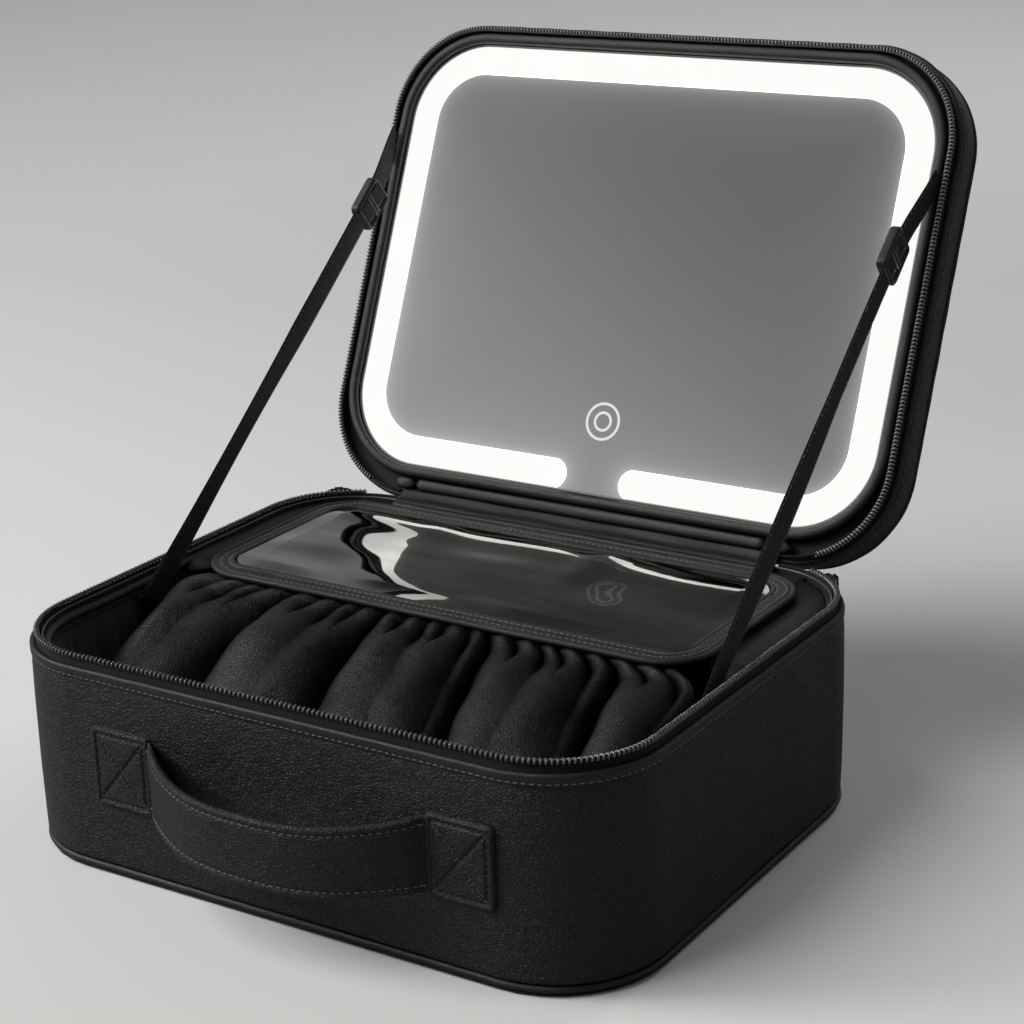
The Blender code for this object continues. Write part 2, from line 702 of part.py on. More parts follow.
# ======================= hinge gusset =======================================
# fold of leather that joins the base to the lid: y, z
FOLD = ((97.6, 80.6), (100.6, 81.2), (102.6, 82.4), (103.9, 84.2))
FOLD_X = (-86.0, 0.0, 86.0)
FOLD_HALF_T = 0.35
FOLD_SHIFT = 0.25       # the under side lies this much further back


def build_gusset():
    rings = [[(x, y, z + FOLD_HALF_T) for y, z in FOLD]
             + [(x, y + FOLD_SHIFT, z - FOLD_HALF_T) for y, z in FOLD[::-1]]
             for x in FOLD_X]
    loft("hinge_gusset", leather("gusset_leather"), rings)


# ======================= zip sliders and pulls ==============================
SLIDER_PARK = 50.0      # degrees round the rear corners, from the side to the rear
SLIDER_SWEEP, SLIDER_STEPS = 16, 6      # degrees the plate covers, and its steps
SLIDER_R0, SLIDER_R1 = CORNER_R - 1.25, CORNER_R - 0.1
SLIDER_Z0, SLIDER_Z1 = 79.4, 86.4
SLIDER_TAPER = 0.9      # taken off the top and bottom at each end
# bail, a small arch that carries the pull: out from the plate, z
BAIL = ((-0.6, 85.4), (0.9, 85.2), (1.9, 84.2), (1.9, 82.0), (0.9, 81.0), (-0.6, 80.8))
BAIL_R = 0.55
PULL_OUT, PULL_Z = 0.75, 83.4   # pull's pivot: out from the plate, z
PULL_HALF_T = 0.25
# pull tab and the hole for the bail, in its own frame: across, up
PULL_OUTLINE = ((-1.8, 0.4), (-2.4, -4.6), (-2.8, -14.0), (-1.6, -16.6),
                (1.6, -16.6), (2.8, -14.0), (2.4, -4.6), (1.8, 0.4))
PULL_HOLE = ((-0.95, -0.4), (0.95, -0.4), (0.95, -3.6), (-0.95, -3.6))


def outward(sign, degrees):
    """Direction out from a rear corner's centre."""
    return Vector((cos(radians(degrees)) * sign, sin(radians(degrees)), 0))


def build_slider(side, sign):
    """A curved plate between the two pipings, with its bail joined on."""
    corner = Vector((sign * (HX - CORNER_R), HY - CORNER_R, 0))
    rings = []
    for i in range(SLIDER_STEPS + 1):
        direction = outward(sign, SLIDER_PARK + SLIDER_SWEEP * (i / SLIDER_STEPS - 0.5))
        taper = SLIDER_TAPER if i in (0, SLIDER_STEPS) else 0.0
        z0, z1 = SLIDER_Z0 + taper, SLIDER_Z1 - taper
        rings.append([corner + direction * radius + Vector((0, 0, z))
                      for radius, z in ((SLIDER_R0, z0), (SLIDER_R1, z0),
                                        (SLIDER_R1, z1), (SLIDER_R0, z1))])
    slider = loft("zip_slider_" + side, dark_metal("slider_metal_" + side), rings)
    out = outward(sign, SLIDER_PARK)
    bail_points = [corner + out * (SLIDER_R1 + reach) + Vector((0, 0, z))
                   for reach, z in BAIL]
    bail = to_mesh(tube("bail_" + side, plastic("bail_" + side), bail_points, BAIL_R,
                        res=1))
    combine(slider, bail, "join", "UNION")
    hang(add_pivot("zip_path_" + side, corner.x, corner.y, ZIP_PLANE), slider, bail)
    build_pull(side, out, corner + out * (SLIDER_R1 + PULL_OUT) + Vector((0, 0, PULL_Z)))


def build_pull(side, out, origin):
    """A flat tab that hangs from the bail."""
    pull = plate("zip_pull_" + side, dark_metal("pull_metal_" + side),
                 [PULL_OUTLINE, PULL_HOLE], (-PULL_HALF_T, PULL_HALF_T))
    up = Vector((0, 0, 1))
    pull.matrix_world = placed(up.cross(out), up, out, origin)
    hang(add_pivot("zip_pull_pivot_" + side, *origin), pull)


# ======================= assembly ===========================================
def build_lid():
    """Build the lid shut, then swing it open."""
    lid_parts = (build_zip_half("lid", lid_plan, LID_TAPE_Z, ZIP_PLANE + COIL_RISE)
                 + build_lid_shell() + build_mirror() + build_electrics()
                 + build_lid_tabs())
    pivot = add_pivot("lid_pivot", 0, HINGE_Y, HINGE_Z)
    hang(pivot, *lid_parts)
    pivot.rotation_euler.x = -radians(LID_OPEN)


def smooth_meshes():
    for ob in parts.objects:
        if ob.type == "MESH":
            ob.data.shade_smooth()
            ob.data.set_sharp_from_angle(angle=radians(40))


build_base_shell()
build_zip_half("base", base_plan, BASE_TAPE_Z, ZIP_PLANE - COIL_RISE)
build_lining()
build_dividers()
build_handle()
build_flap()
build_straps()
build_lid()
build_gusset()
for side_name, side_sign in SIDES:
    build_slider(side_name, side_sign)
smooth_meshes()
bpy.context.view_layer.update()
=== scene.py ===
"""A zip-around vanity case standing open, with a lighted mirror in its lid.

The case stands on z = 0, centred on the z axis.  The front, with the handle, faces
-Y; the hinge runs along X at the rear.  Shapes are drawn in millimetres and turned
into metres in make().  Pieces of the body "lid" are drawn with the lid shut, and
make() turns them to the angle of the open lid.
"""
import json
import math
import bmesh
import bpy
import numpy as np
from mathutils import Matrix, Vector
from mathutils.geometry import tessellate_polygon


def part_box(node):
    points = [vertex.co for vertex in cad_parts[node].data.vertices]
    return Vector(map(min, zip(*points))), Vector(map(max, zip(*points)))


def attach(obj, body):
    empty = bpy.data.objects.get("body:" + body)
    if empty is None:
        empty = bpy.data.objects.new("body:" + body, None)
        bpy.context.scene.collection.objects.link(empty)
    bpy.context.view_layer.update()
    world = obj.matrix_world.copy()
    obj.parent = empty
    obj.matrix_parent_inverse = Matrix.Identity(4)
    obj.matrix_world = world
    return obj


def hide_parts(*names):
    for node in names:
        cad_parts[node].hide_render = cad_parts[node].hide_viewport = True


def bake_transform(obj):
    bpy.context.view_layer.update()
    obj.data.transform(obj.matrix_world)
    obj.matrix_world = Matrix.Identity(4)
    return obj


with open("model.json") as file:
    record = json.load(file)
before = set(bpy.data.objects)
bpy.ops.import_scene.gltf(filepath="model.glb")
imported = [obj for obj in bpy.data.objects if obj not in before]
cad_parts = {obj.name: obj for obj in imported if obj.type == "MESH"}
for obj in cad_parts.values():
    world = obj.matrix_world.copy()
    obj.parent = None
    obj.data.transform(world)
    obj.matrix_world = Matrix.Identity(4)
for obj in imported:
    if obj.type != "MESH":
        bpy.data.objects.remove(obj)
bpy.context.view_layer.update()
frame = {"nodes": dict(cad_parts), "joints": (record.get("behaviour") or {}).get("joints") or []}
NODES = frame["nodes"]
MM = 0.001
PI = math.pi


def box_mm(node):
    low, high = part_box(node)
    return np.array(low) / MM, np.array(high) / MM


# ============================ driving sizes (mm) ==============================
low, high = box_mm("base_top_piping")
HALF_X, HALF_Y = high[0], high[1]
PIPE_R = (high[2] - low[2]) / 2
PIPE_Z = (high[2] + low[2]) / 2
low, high = box_mm("base_bottom_piping")
BOTTOM_PIPE_Z = (low[2] + high[2]) / 2
low, high = box_mm("base_wall")
WALL_LOW, WALL_HIGH = low[2], high[2]
WALL_IN = HALF_X - high[0]                    # wall face, inwards of the case outline
low, high = box_mm("base_zip_coil")
COIL_R = (high[2] - low[2]) / 2
COIL_Z = (high[2] + low[2]) / 2
COIL_IN = HALF_X - (high[0] - COIL_R)
ZIP_PLANE = high[2] + 0.2                     # where the two halves of the zip meet
CORNER = 41.0
hinge = {joint["name"]: joint for joint in frame["joints"]}["lid_hinge"]
HINGE_Y, HINGE_Z = hinge["pos_m"][1] / MM, hinge["pos_m"][2] / MM
LID_ANGLE = math.radians(113.8)
LID_FRONT, LID_REAR = -HALF_Y, -HALF_Y + 204.9
# light band in the lid: outline, width, half the gap between its ends
LED_HALF_X, LED_FRONT, LED_REAR, LED_R = 119.8, -94.4, 86.4, 33.0
LED_BAND, LED_GAP = 11.8, 12.4
GLASS_Z, GLASS_THICK = 88.7, 2.4
low, high = box_mm("flap_binding")
FLAP_HALF_X, FLAP_FRONT, FLAP_REAR, FLAP_R = high[0], low[1], high[1], 20.0
FLAP_Z = (low[2] + high[2]) / 2


def lid_height(z):
    """A height of the base reflected in the zip plane."""
    return 2 * ZIP_PLANE - z


def swing(points):
    """Turn points drawn with the lid shut to where the open lid has them."""
    dy, dz = points[:, 1] - HINGE_Y, points[:, 2] - HINGE_Z
    cos, sin = math.cos(LID_ANGLE), math.sin(LID_ANGLE)
    out = points.copy()
    out[:, 1] = HINGE_Y + dy * cos + dz * sin
    out[:, 2] = HINGE_Z - dy * sin + dz * cos
    return out


# ============================ shader graph writer =============================
class Graph:
    """A small writer of shader nodes for one material or world."""

    def __init__(self, data, output="ShaderNodeOutputMaterial"):
        data.use_nodes = True
        self.data = data
        self.tree = data.node_tree
        self.tree.nodes.clear()
        self.output = self.node(output)

    def node(self, kind, inputs=None, **props):
        node = self.tree.nodes.new(kind)
        for key, value in props.items():
            setattr(node, key, value)
        for key, value in (inputs or {}).items():
            self.put(node.inputs[key], value)
        return node

    def put(self, socket, value):
        if isinstance(value, bpy.types.NodeSocket):
            self.tree.links.new(value, socket)
        elif isinstance(value, (tuple, list)) and len(value) == 3 and socket.type == "RGBA":
            socket.default_value = (*value, 1.0)
        else:
            socket.default_value = value

    def math(self, op, *values, clamp=False):
        return self.node("ShaderNodeMath", dict(enumerate(values)),
                         operation=op, use_clamp=clamp).outputs[0]

    def add(self, a, b):
        return self.math("ADD", a, b)

    def sub(self, a, b):
        return self.math("SUBTRACT", a, b)

    def mul(self, a, b):
        return self.math("MULTIPLY", a, b)

    def sine(self, a):
        return self.math("SINE", a)

    def vector(self, op, inputs):
        return self.node("ShaderNodeVectorMath", inputs, operation=op).outputs[0]

    def place(self):
        return self.node("ShaderNodeTexCoord").outputs["Object"]

    def split(self, vector):
        return self.node("ShaderNodeSeparateXYZ", {0: vector}).outputs

    def uv(self):
        parts = self.split(self.node("ShaderNodeUVMap", uv_map="UVMap").outputs[0])
        return parts[0], parts[1]

    def noise(self, vector, scale, detail=3.0, output="Fac"):
        node = self.node("ShaderNodeTexNoise",
                         {"Vector": vector, "Scale": scale, "Detail": detail})
        return node.outputs[output]

    def voronoi(self, vector, scale, feature, randomness=1.0):
        return self.node("ShaderNodeTexVoronoi",
                         {"Vector": vector, "Scale": scale, "Randomness": randomness},
                         feature=feature).outputs["Distance"]

    def ramp(self, value, span, to=(0.0, 1.0), smooth=True):
        """Map the span of a value on to another range."""
        return self.node("ShaderNodeMapRange",
                         {"Value": value, "From Min": span[0], "From Max": span[1],
                          "To Min": to[0], "To Max": to[1]},
                         interpolation_type="SMOOTHSTEP" if smooth else "LINEAR").outputs[0]

    def mix(self, factor, a, b):
        return self.node("ShaderNodeMix", data_type="RGBA",
                         inputs={"Factor": factor, 6: a, 7: b}).outputs[2]

    def bump(self, height, depth_mm):
        return self.node("ShaderNodeBump", {"Strength": 1.0, "Distance": depth_mm * MM,
                                            "Height": height}).outputs[0]

    def surface(self, node):
        self.put(self.output.inputs[0], node.outputs[0])
        return self.data

    def principled(self, **inputs):
        inputs = {key.replace("_", " "): value for key, value in inputs.items()}
        return self.surface(self.node("ShaderNodeBsdfPrincipled", inputs))


def new_graph(name):
    return Graph(bpy.data.materials.new(name))


def tint(colour, factor):
    return tuple(part * factor for part in colour)


# ============================ materials =======================================
# Noise and cell scales are per metre; pitches, grains and depths are in mm.
def leather(name, base=(0.0118, 0.0118, 0.0121), rough=0.43, grain=1.55, depth=0.22,
            spec=0.30, shade=False):
    """Pebbled soft-coated leather: rounded pebbles between creases darkened by painted shade,
    with slow drift of colour and gloss.  With shade, the mesh UVs carry painted shade into the
    deep folds, darker and less glossy."""
    g = new_graph(name)
    co = g.place()
    # cell pattern pushed sideways so that the creases wander
    wander = g.noise(co, scale=260, detail=2.0, output="Color")
    centred = g.vector("SUBTRACT", {0: wander, 1: (0.5, 0.5, 0.5)})
    warped = g.vector("ADD", {0: co, 1: g.vector("SCALE", {0: centred, "Scale": 0.0019})})
    pebble = g.ramp(g.voronoi(warped, 1000 / grain, "DISTANCE_TO_EDGE"), (0.0, 0.30))
    small = g.ramp(g.voronoi(warped, 1000 / (grain * 0.52), "DISTANCE_TO_EDGE"), (0.0, 0.2))
    slow = g.noise(co, scale=34)
    mid = g.noise(co, scale=190)
    fine = g.noise(co, scale=2600, detail=2.0)
    # height: shares of large and small pebbles, then fine pores and soft unevenness
    height = g.mul(g.add(g.mul(pebble, 0.68), g.mul(small, 0.32)),
                   g.ramp(slow, (0.3, 0.75), to=(0.75, 1.0)))
    height = g.add(height, g.mul(fine, 0.10))
    height = g.add(height, g.mul(mid, 0.9))
    normal = g.bump(height, depth * 1.5)
    # colour: slow drift, painted shade in the creases, pale rubbed patches
    colour = g.mix(g.ramp(slow, (0.25, 0.8)), tint(base, 0.85), tint(base, 1.15))
    colour = g.mix(pebble, tint(base, 0.4), colour)
    colour = g.mix(g.ramp(mid, (0.58, 0.9), to=(0, 0.5)), colour, tint(base, 1.6))
    roughness = g.add(g.ramp(slow, (0.2, 0.8), to=(rough - 0.05, rough + 0.05)),
                      g.ramp(pebble, (0.0, 1.0), to=(0.1, 0.0)))
    if shade:                                   # painted shade: deep folds darkened and less glossy
        painted_fold_shading = g.math("MULTIPLY", g.uv()[0], 1 / MM, clamp=True)
        colour = g.mix(painted_fold_shading, tint(base, 0.12), colour)
        spec = g.mul(painted_fold_shading, spec)
    return g.principled(Base_Color=colour, Roughness=roughness, Specular_IOR_Level=spec,
                        Normal=normal)


def cloth(name, base, pitch=0.8, depth=0.06, rough=0.82, sheen=0.25, twill=False):
    """Woven cloth over the mesh UVs: over-and-under threads with fluff."""
    g = new_graph(name)
    u, v = g.uv()
    turn = 2 * PI / (pitch * MM)
    if twill:                                   # strong slanting ribs, weak cross threads
        ribs = g.sine(g.mul(g.add(u, g.mul(v, 0.8)), turn))
        cross = g.sine(g.mul(v, turn * 1.6))
        weave = g.add(g.mul(ribs, 0.42), g.mul(cross, 0.12))
    else:
        weave = g.mul(g.sine(g.mul(u, turn)), g.sine(g.mul(v, turn)))
        weave = g.mul(weave, 0.45)
    co = g.place()
    fluff = g.noise(co, scale=1900)
    slow = g.noise(co, scale=40)
    normal = g.bump(g.add(g.add(weave, 0.5), g.mul(fluff, 0.35)), depth)
    # painted light and shade: raised threads lighter, the weave's low points darker
    colour = g.mix(g.ramp(weave, (-0.4, 0.4)), tint(base, 0.5), tint(base, 1.5))
    colour = g.mix(g.ramp(slow, (0.2, 0.8)), tint(base, 0.85), colour)
    return g.principled(Base_Color=colour, Roughness=rough, Normal=normal, Sheen_Weight=sheen,
                        Sheen_Roughness=0.5, Specular_IOR_Level=0.3)


def ribbed_tape(name, base, rib, knit, depth):
    """Zip tape: ribs across it, fine knit along each rib."""
    g = new_graph(name)
    u, v = g.uv()
    ribs = g.math("ABSOLUTE", g.sine(g.mul(u, PI / (rib * MM))))
    stitch = g.sine(g.mul(v, 2 * PI / (knit * MM)))
    height = g.add(g.mul(g.math("POWER", ribs, 0.7), 0.8), g.mul(stitch, 0.1))
    normal = g.bump(height, depth)
    # painted light and shade: rib tops lighter, the grooves between ribs darker
    colour = g.mix(ribs, tint(base, 0.35), tint(base, 1.4))
    fuzz = g.noise(g.place(), scale=900, detail=2.0)
    return g.principled(Base_Color=g.mix(fuzz, colour, tint(base, 1.1)), Roughness=0.78,
                        Normal=normal, Sheen_Weight=0.06, Specular_IOR_Level=0.2)


def nylon(name, base, rough=0.3, spec=0.6):
    """Moulded or drawn nylon: faint orange peel and rubbed patches."""
    g = new_graph(name)
    co = g.place()
    peel = g.noise(co, scale=1500, detail=2.0)
    patches = g.noise(co, scale=120)
    return g.principled(Normal=g.bump(peel, 0.012),
                        Base_Color=g.mix(patches, tint(base, 0.75), tint(base, 1.3)),
                        Roughness=g.ramp(patches, (0.3, 0.8), to=(rough - 0.06, rough + 0.08)),
                        Specular_IOR_Level=spec)


def plated_metal(name, base):
    """Dark plated zinc: brushed drift and small wear."""
    g = new_graph(name)
    co = g.place()
    wear = g.noise(co, scale=300, detail=4.0)
    brush = g.noise(co, scale=2200, detail=2.0)
    return g.principled(Base_Color=g.mix(g.ramp(wear, (0.55, 0.75)), base, tint(base, 2.4)),
                        Metallic=0.9, Roughness=g.ramp(brush, (0.2, 0.8), to=(0.24, 0.42)),
                        Normal=g.bump(brush, 0.01))


def thread(name, shade):
    """Sewing thread: two-ply twist along the stitch."""
    base = (shade, shade, shade)
    g = new_graph(name)
    u, v = g.uv()
    twist = g.sine(g.mul(g.add(u, v), 2 * PI / (0.35 * MM)))
    drift = g.noise(g.place(), scale=700, detail=2.0)
    return g.principled(Base_Color=g.mix(drift, tint(base, 0.6), tint(base, 1.4)),
                        Roughness=0.5, Specular_IOR_Level=0.5, Normal=g.bump(twist, 0.05),
                        Sheen_Weight=0.2)


def plain(name, base, rough, metallic=0.0, scale=400, bump=0.02):
    """Hard inner parts: a coated surface with fine tooth and slow drift."""
    g = new_graph(name)
    co = g.place()
    tooth = g.noise(co, scale=scale, detail=4.0)
    drift = g.noise(co, scale=scale / 8, detail=2.0)
    span = (max(rough - 0.08, 0.02), rough + 0.08)
    return g.principled(Base_Color=g.mix(drift, tint(base, 0.75), tint(base, 1.25)),
                        Roughness=g.ramp(tooth, (0.2, 0.8), to=span),
                        Metallic=metallic, Normal=g.bump(tooth, bump))


LEATHER = leather("case_leather_grain")
# the skirt's leather takes painted shade from its mesh UVs
SKIRT_LEATHER = leather("skirt_leather_grain_painted_shade", base=(0.0026, 0.0026, 0.0027), rough=0.40,
                        grain=1.05, depth=0.10, spec=0.36, shade=True)
SHELF_LEATHER = leather("shelf_leather_fine", base=(0.0045, 0.0045, 0.0046), rough=0.5,
                        grain=0.9, depth=0.06, spec=0.16)
ROLL_LEATHER = leather("roll_leather_fine", base=(0.0085, 0.0084, 0.0083), rough=0.46,
                       grain=0.9, depth=0.05, spec=0.4)
FLAP_LEATHER = leather("flap_leather_fine", base=(0.0075, 0.0075, 0.0077), rough=0.48,
                       grain=0.8, depth=0.05, spec=0.35)
HANDLE_LEATHER = leather("handle_leather_grain", base=(0.0112, 0.0112, 0.0115), rough=0.42,
                         grain=1.45, depth=0.19)
LINING = cloth("lining_weave", base=(0.0075, 0.0075, 0.008), sheen=0.1)
WALL_LINING = cloth("wall_lining_weave", base=(0.040, 0.040, 0.042), sheen=0.3)
DIVIDER_CLOTH = cloth("divider_weave", base=(0.016, 0.016, 0.017), pitch=0.9)
CARD = cloth("stiffener_card_fibre", base=(0.018, 0.017, 0.016), pitch=0.5, depth=0.02,
             rough=0.9, sheen=0.0)
TAPE = ribbed_tape("zip_tape_knit", base=(0.0042, 0.0042, 0.0046), rib=0.9, knit=0.45,
                   depth=0.12)
COIL = nylon("zip_coil_drawn_nylon", base=(0.052, 0.052, 0.052), rough=0.28, spec=0.8)
# painted highlight: the lid's half of the zip is paler than the base's half, for the bright glints
# along its coil
LID_COIL = nylon("lid_coil_drawn_nylon", base=(0.11, 0.11, 0.11), spec=0.8)
WEBBING = cloth("webbing_twill", base=(0.0062, 0.0062, 0.0064), pitch=1.25, depth=0.2,
                rough=0.8, sheen=0.03, twill=True)
BUCKLE = nylon("buckle_moulded_nylon", base=(0.006, 0.006, 0.0062), rough=0.5, spec=0.35)
METAL = plated_metal("slider_dark_plate", base=(0.035, 0.035, 0.037))
THREAD = thread("thread_charcoal", 0.10)
# painted highlight: a paler copy of the dark thread, for the light specks along the stitches' tops
PALE_THREAD = thread("thread_pale", 0.15)
DARK_THREAD = thread("thread_black", 0.022)
# the black thread is a touch bluer than grey
for link in DARK_THREAD.node_tree.nodes:
    if link.type == "MIX":
        for index, factor in ((6, 0.6), (7, 1.4)):
            link.inputs[index].default_value[2] = 0.023 * factor


def film_material():
    """Clear soft film: seen through, but mirrors bright things."""
    g = new_graph("clear_film_gloss")
    co = g.place()
    normal = g.bump(g.noise(co, scale=60, detail=2.0), 0.05)
    gloss = g.node("ShaderNodeBsdfGlossy", {"Roughness": 0.03, "Color": (0.97, 0.955, 0.93),
                                            "Normal": normal})
    clear = g.node("ShaderNodeBsdfTransparent", {"Color": (0.86, 0.86, 0.87)})
    fresnel = g.node("ShaderNodeFresnel", {"IOR": 1.52, "Normal": normal})
    # faint drag streaks of haze, long across the film
    stretched = g.vector("MULTIPLY", {0: co, 1: (9.0, 42.0, 20.0)})
    haze = g.ramp(g.noise(stretched, scale=1.0, detail=4.0), (0.30, 0.78), to=(0.82, 1.45))
    # a little more reflection than the bare fresnel value gives
    reflect = g.math("MULTIPLY_ADD", fresnel.outputs[0], 1.12, 0.01)
    share = g.math("MULTIPLY", reflect, haze, clamp=True)
    return g.surface(g.node("ShaderNodeMixShader",
                            {0: share, 1: clear.outputs[0], 2: gloss.outputs[0]}))


def outline_distance(g, u, v, half_x, front, rear, radius):
    """Signed distance, in metres, to a rounded outline in the lid's own plane."""
    centre, half_y = (front + rear) / 2 * MM, (rear - front) / 2 * MM
    over_x = g.sub(g.math("ABSOLUTE", u), (half_x - radius) * MM)
    over_y = g.sub(g.math("ABSOLUTE", g.sub(v, centre)), half_y - radius * MM)
    x, y = g.math("MAXIMUM", over_x, 0.0), g.math("MAXIMUM", over_y, 0.0)
    corner = g.math("SQRT", g.add(g.mul(x, x), g.mul(y, y)))
    inner = g.math("MINIMUM", g.math("MAXIMUM", over_x, over_y), 0.0)
    return g.sub(g.add(corner, inner), radius * MM)


def mirror_material():
    """Silvered glass with a painted glow: light from the band bleeding a little way into its edge.
    """
    g = new_graph("mirror_silvered_glass")
    u, v = g.uv()
    distance = outline_distance(g, u, v, LED_HALF_X - LED_BAND, LED_FRONT + LED_BAND,
                                LED_REAR - LED_BAND, LED_R - LED_BAND)
    inside = g.math("MAXIMUM", g.mul(distance, -1.0), 0.0)
    # in the gap the nearest light is the rounded end of the band on either side
    x = g.sub(g.math("ABSOLUTE", u), (LED_GAP + LED_BAND / 2) * MM)
    y = g.sub(v, (LED_REAR - LED_BAND / 2) * MM)
    end = g.sub(g.math("SQRT", g.add(g.mul(x, x), g.mul(y, y))), LED_BAND / 2 * MM)
    end = g.math("MAXIMUM", end, 0.0)
    in_gap = g.mul(g.math("LESS_THAN", x, 0.0), g.math("GREATER_THAN", v, 0.03))
    inside = g.add(g.mul(inside, g.sub(1.0, in_gap)), g.mul(end, in_gap))
    # painted glow, three decays with depth into the glass: reach in mm, strength at the edge
    near, wide, far = (
        g.mul(g.math("POWER", 2.718, g.mul(inside, -1 / (reach * MM))), strength)
        for reach, strength in ((2.0, 0.16), (9.0, 0.05), (26.0, 0.03)))
    glow = g.add(g.add(near, wide), far)
    # a faint painted glow that grows towards the hinge side on the left
    painted_veil_glow = g.mul(g.ramp(g.sub(v, u), (-0.10, 0.17)), 0.085)
    glow = g.add(glow, painted_veil_glow)
    drift = g.noise(g.place(), scale=14, detail=2.0)
    return g.principled(Base_Color=g.mix(drift, (0.80, 0.80, 0.79), (0.86, 0.86, 0.86)),
                        Metallic=1.0, Roughness=g.ramp(drift, (0.2, 0.8), to=(0.012, 0.03)),
                        Emission_Color=(1.0, 0.99, 0.96), Emission_Strength=glow)


def light_material(name, seen, cast):
    """A lit surface with one strength to the camera and another where it lights things."""
    g = new_graph(name)
    camera_ray = g.node("ShaderNodeLightPath").outputs["Is Camera Ray"]
    drift = g.noise(g.place(), scale=30, detail=2.0)
    strength = g.mul(g.ramp(drift, (0.2, 0.8), to=(0.985, 1.0)),
                     g.add(g.mul(camera_ray, seen - cast), cast))
    return g.surface(g.node("ShaderNodeEmission", {0: (0.985, 0.985, 0.965), 1: strength}))


FILM = film_material()
MIRROR = mirror_material()
LIGHT = light_material("diffuser_lit_acrylic", seen=1.0, cast=2.6)
ICON = light_material("touch_icon_lit", seen=0.80, cast=0.35)


def dress(node, material):
    """Give a frame piece that stays in use a new material."""
    NODES[node].data.materials.clear()
    NODES[node].data.materials.append(material)


# ============================ mesh makers ====================================
def box_uv(mesh, points):
    """UVs for each corner: points seen along the main axis of their face's normal."""
    vertex = np.empty(len(mesh.loops), np.int64)
    mesh.loops.foreach_get("vertex_index", vertex)
    normals = np.empty(len(mesh.polygons) * 3)
    mesh.polygons.foreach_get("normal", normals)
    corners = np.empty(len(mesh.polygons), np.int64)
    mesh.polygons.foreach_get("loop_total", corners)
    axis = np.repeat(np.abs(normals.reshape(-1, 3)).argmax(1), corners)[:, None]
    co = points[vertex]
    return np.where(axis == 0, co[:, [1, 2]], np.where(axis == 1, co[:, [0, 2]], co[:, [0, 1]]))


def make(name, points, faces, material, body=None, uv=None,
         replaces=None, smooth=True):
    """A mesh object from millimetre points; uv, also in mm, is given per face corner."""
    points = np.asarray(points, float)
    placed = swing(points) if body == "lid" else points
    mesh = bpy.data.meshes.new(name)
    mesh.from_pydata((placed * MM).tolist(), [], [list(map(int, face)) for face in faces])
    layer = mesh.uv_layers.new(name="UVMap")
    uv = box_uv(mesh, points * MM) if uv is None else np.asarray(uv, float) * MM
    layer.data.foreach_set("uv", uv.astype(np.float32).ravel())
    mesh.materials.append(material)
    if smooth:
        mesh.shade_smooth()
    mesh.update()
    ob = bpy.data.objects.new(name, mesh)
    bpy.context.scene.collection.objects.link(ob)
    if body:
        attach(ob, body)
    if replaces:
        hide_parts(replaces)
    return ob


def face_out(ob):
    """Point a closed mesh's faces outwards by the sign of its volume."""
    mesh = ob.data
    mesh.calc_loop_triangles()
    co = np.array([v.co for v in mesh.vertices])
    a, b, c = np.array([t.vertices for t in mesh.loop_triangles]).T
    if np.einsum("ij,ij->i", co[a], np.cross(co[b], co[c])).sum() < 0:
        mesh.flip_normals()
    return ob


def recalculate_normals(ob):
    bm = bmesh.new()
    bm.from_mesh(ob.data)
    bmesh.ops.recalc_face_normals(bm, faces=bm.faces[:])
    bm.to_mesh(ob.data)
    bm.free()


class Path:
    """A rounded rectangle, run anticlockwise seen from above, with outward normals
    and running length.  An opened path leaves out the rear side, and skip degrees
    of the corner at either end."""

    def __init__(self, half_x, front, rear, radius, step, opened=False, skip=0.0,
                 arc_step=None):
        arc_step = arc_step or step
        centres = [(half_x - radius, rear - radius), (-half_x + radius, rear - radius),
                   (-half_x + radius, front + radius), (half_x - radius, front + radius)]
        points, normals = [], []

        def add_arc_point(centre, angle):
            out = (math.cos(angle), math.sin(angle))
            points.append((centre[0] + radius * out[0], centre[1] + radius * out[1]))
            normals.append(out)

        for corner in ((1, 2, 3, 0) if opened else (0, 1, 2, 3)):
            centre = centres[corner]
            start, end = 90 * corner, 90 * corner + 90
            turned = math.radians(end)
            if opened and corner == 1:
                start += skip
            if opened and corner == 0:
                end -= skip
            count = max(2, int(round(radius * math.radians(end - start) / arc_step)))
            for i in range(count):
                add_arc_point(centre, math.radians(start + (end - start) * i / count))
            if opened and corner == 0:
                add_arc_point(centre, math.radians(end))
                break
            out = (math.cos(turned), math.sin(turned))
            p, q = (np.array((c[0] + radius * out[0], c[1] + radius * out[1]))
                    for c in (centre, centres[(corner + 1) % 4]))
            count = max(1, int(round(np.linalg.norm(q - p) / step)))
            for i in range(count):
                points.append(tuple(p + (q - p) * i / count))
                normals.append(out)
        self.points, self.normals = np.array(points), np.array(normals)
        self.closed = not opened
        self.measure()

    def measure(self):
        gaps = np.linalg.norm(np.roll(self.points, -1, 0) - self.points, axis=1)
        self.run = np.concatenate([[0], np.cumsum(gaps)[:-1]])
        self.length = self.run[-1] + (gaps[-1] if self.closed else 0)
        self.count = len(self.points)

    def at(self, run, offset, z):
        """Points, moved inwards by offset, and normals at given running lengths."""
        xs, points, normals = self.run, self.points, self.normals
        if self.closed:
            run = np.mod(run, self.length)
            xs = np.concatenate([xs, [self.length]])
            points = np.vstack([points, points[:1]])
            normals = np.vstack([normals, normals[:1]])
        p = np.stack([np.interp(run, xs, points[:, k]) for k in (0, 1)], 1)
        n = np.stack([np.interp(run, xs, normals[:, k]) for k in (0, 1)], 1)
        n /= np.linalg.norm(n, axis=1)[:, None]
        return np.column_stack([p - n * offset, np.full(len(run), z)]), n

    def inset(self, offset):
        """Every path point moved inwards by each of the offsets."""
        return self.points[:, None] - self.normals[:, None] * offset[..., None]


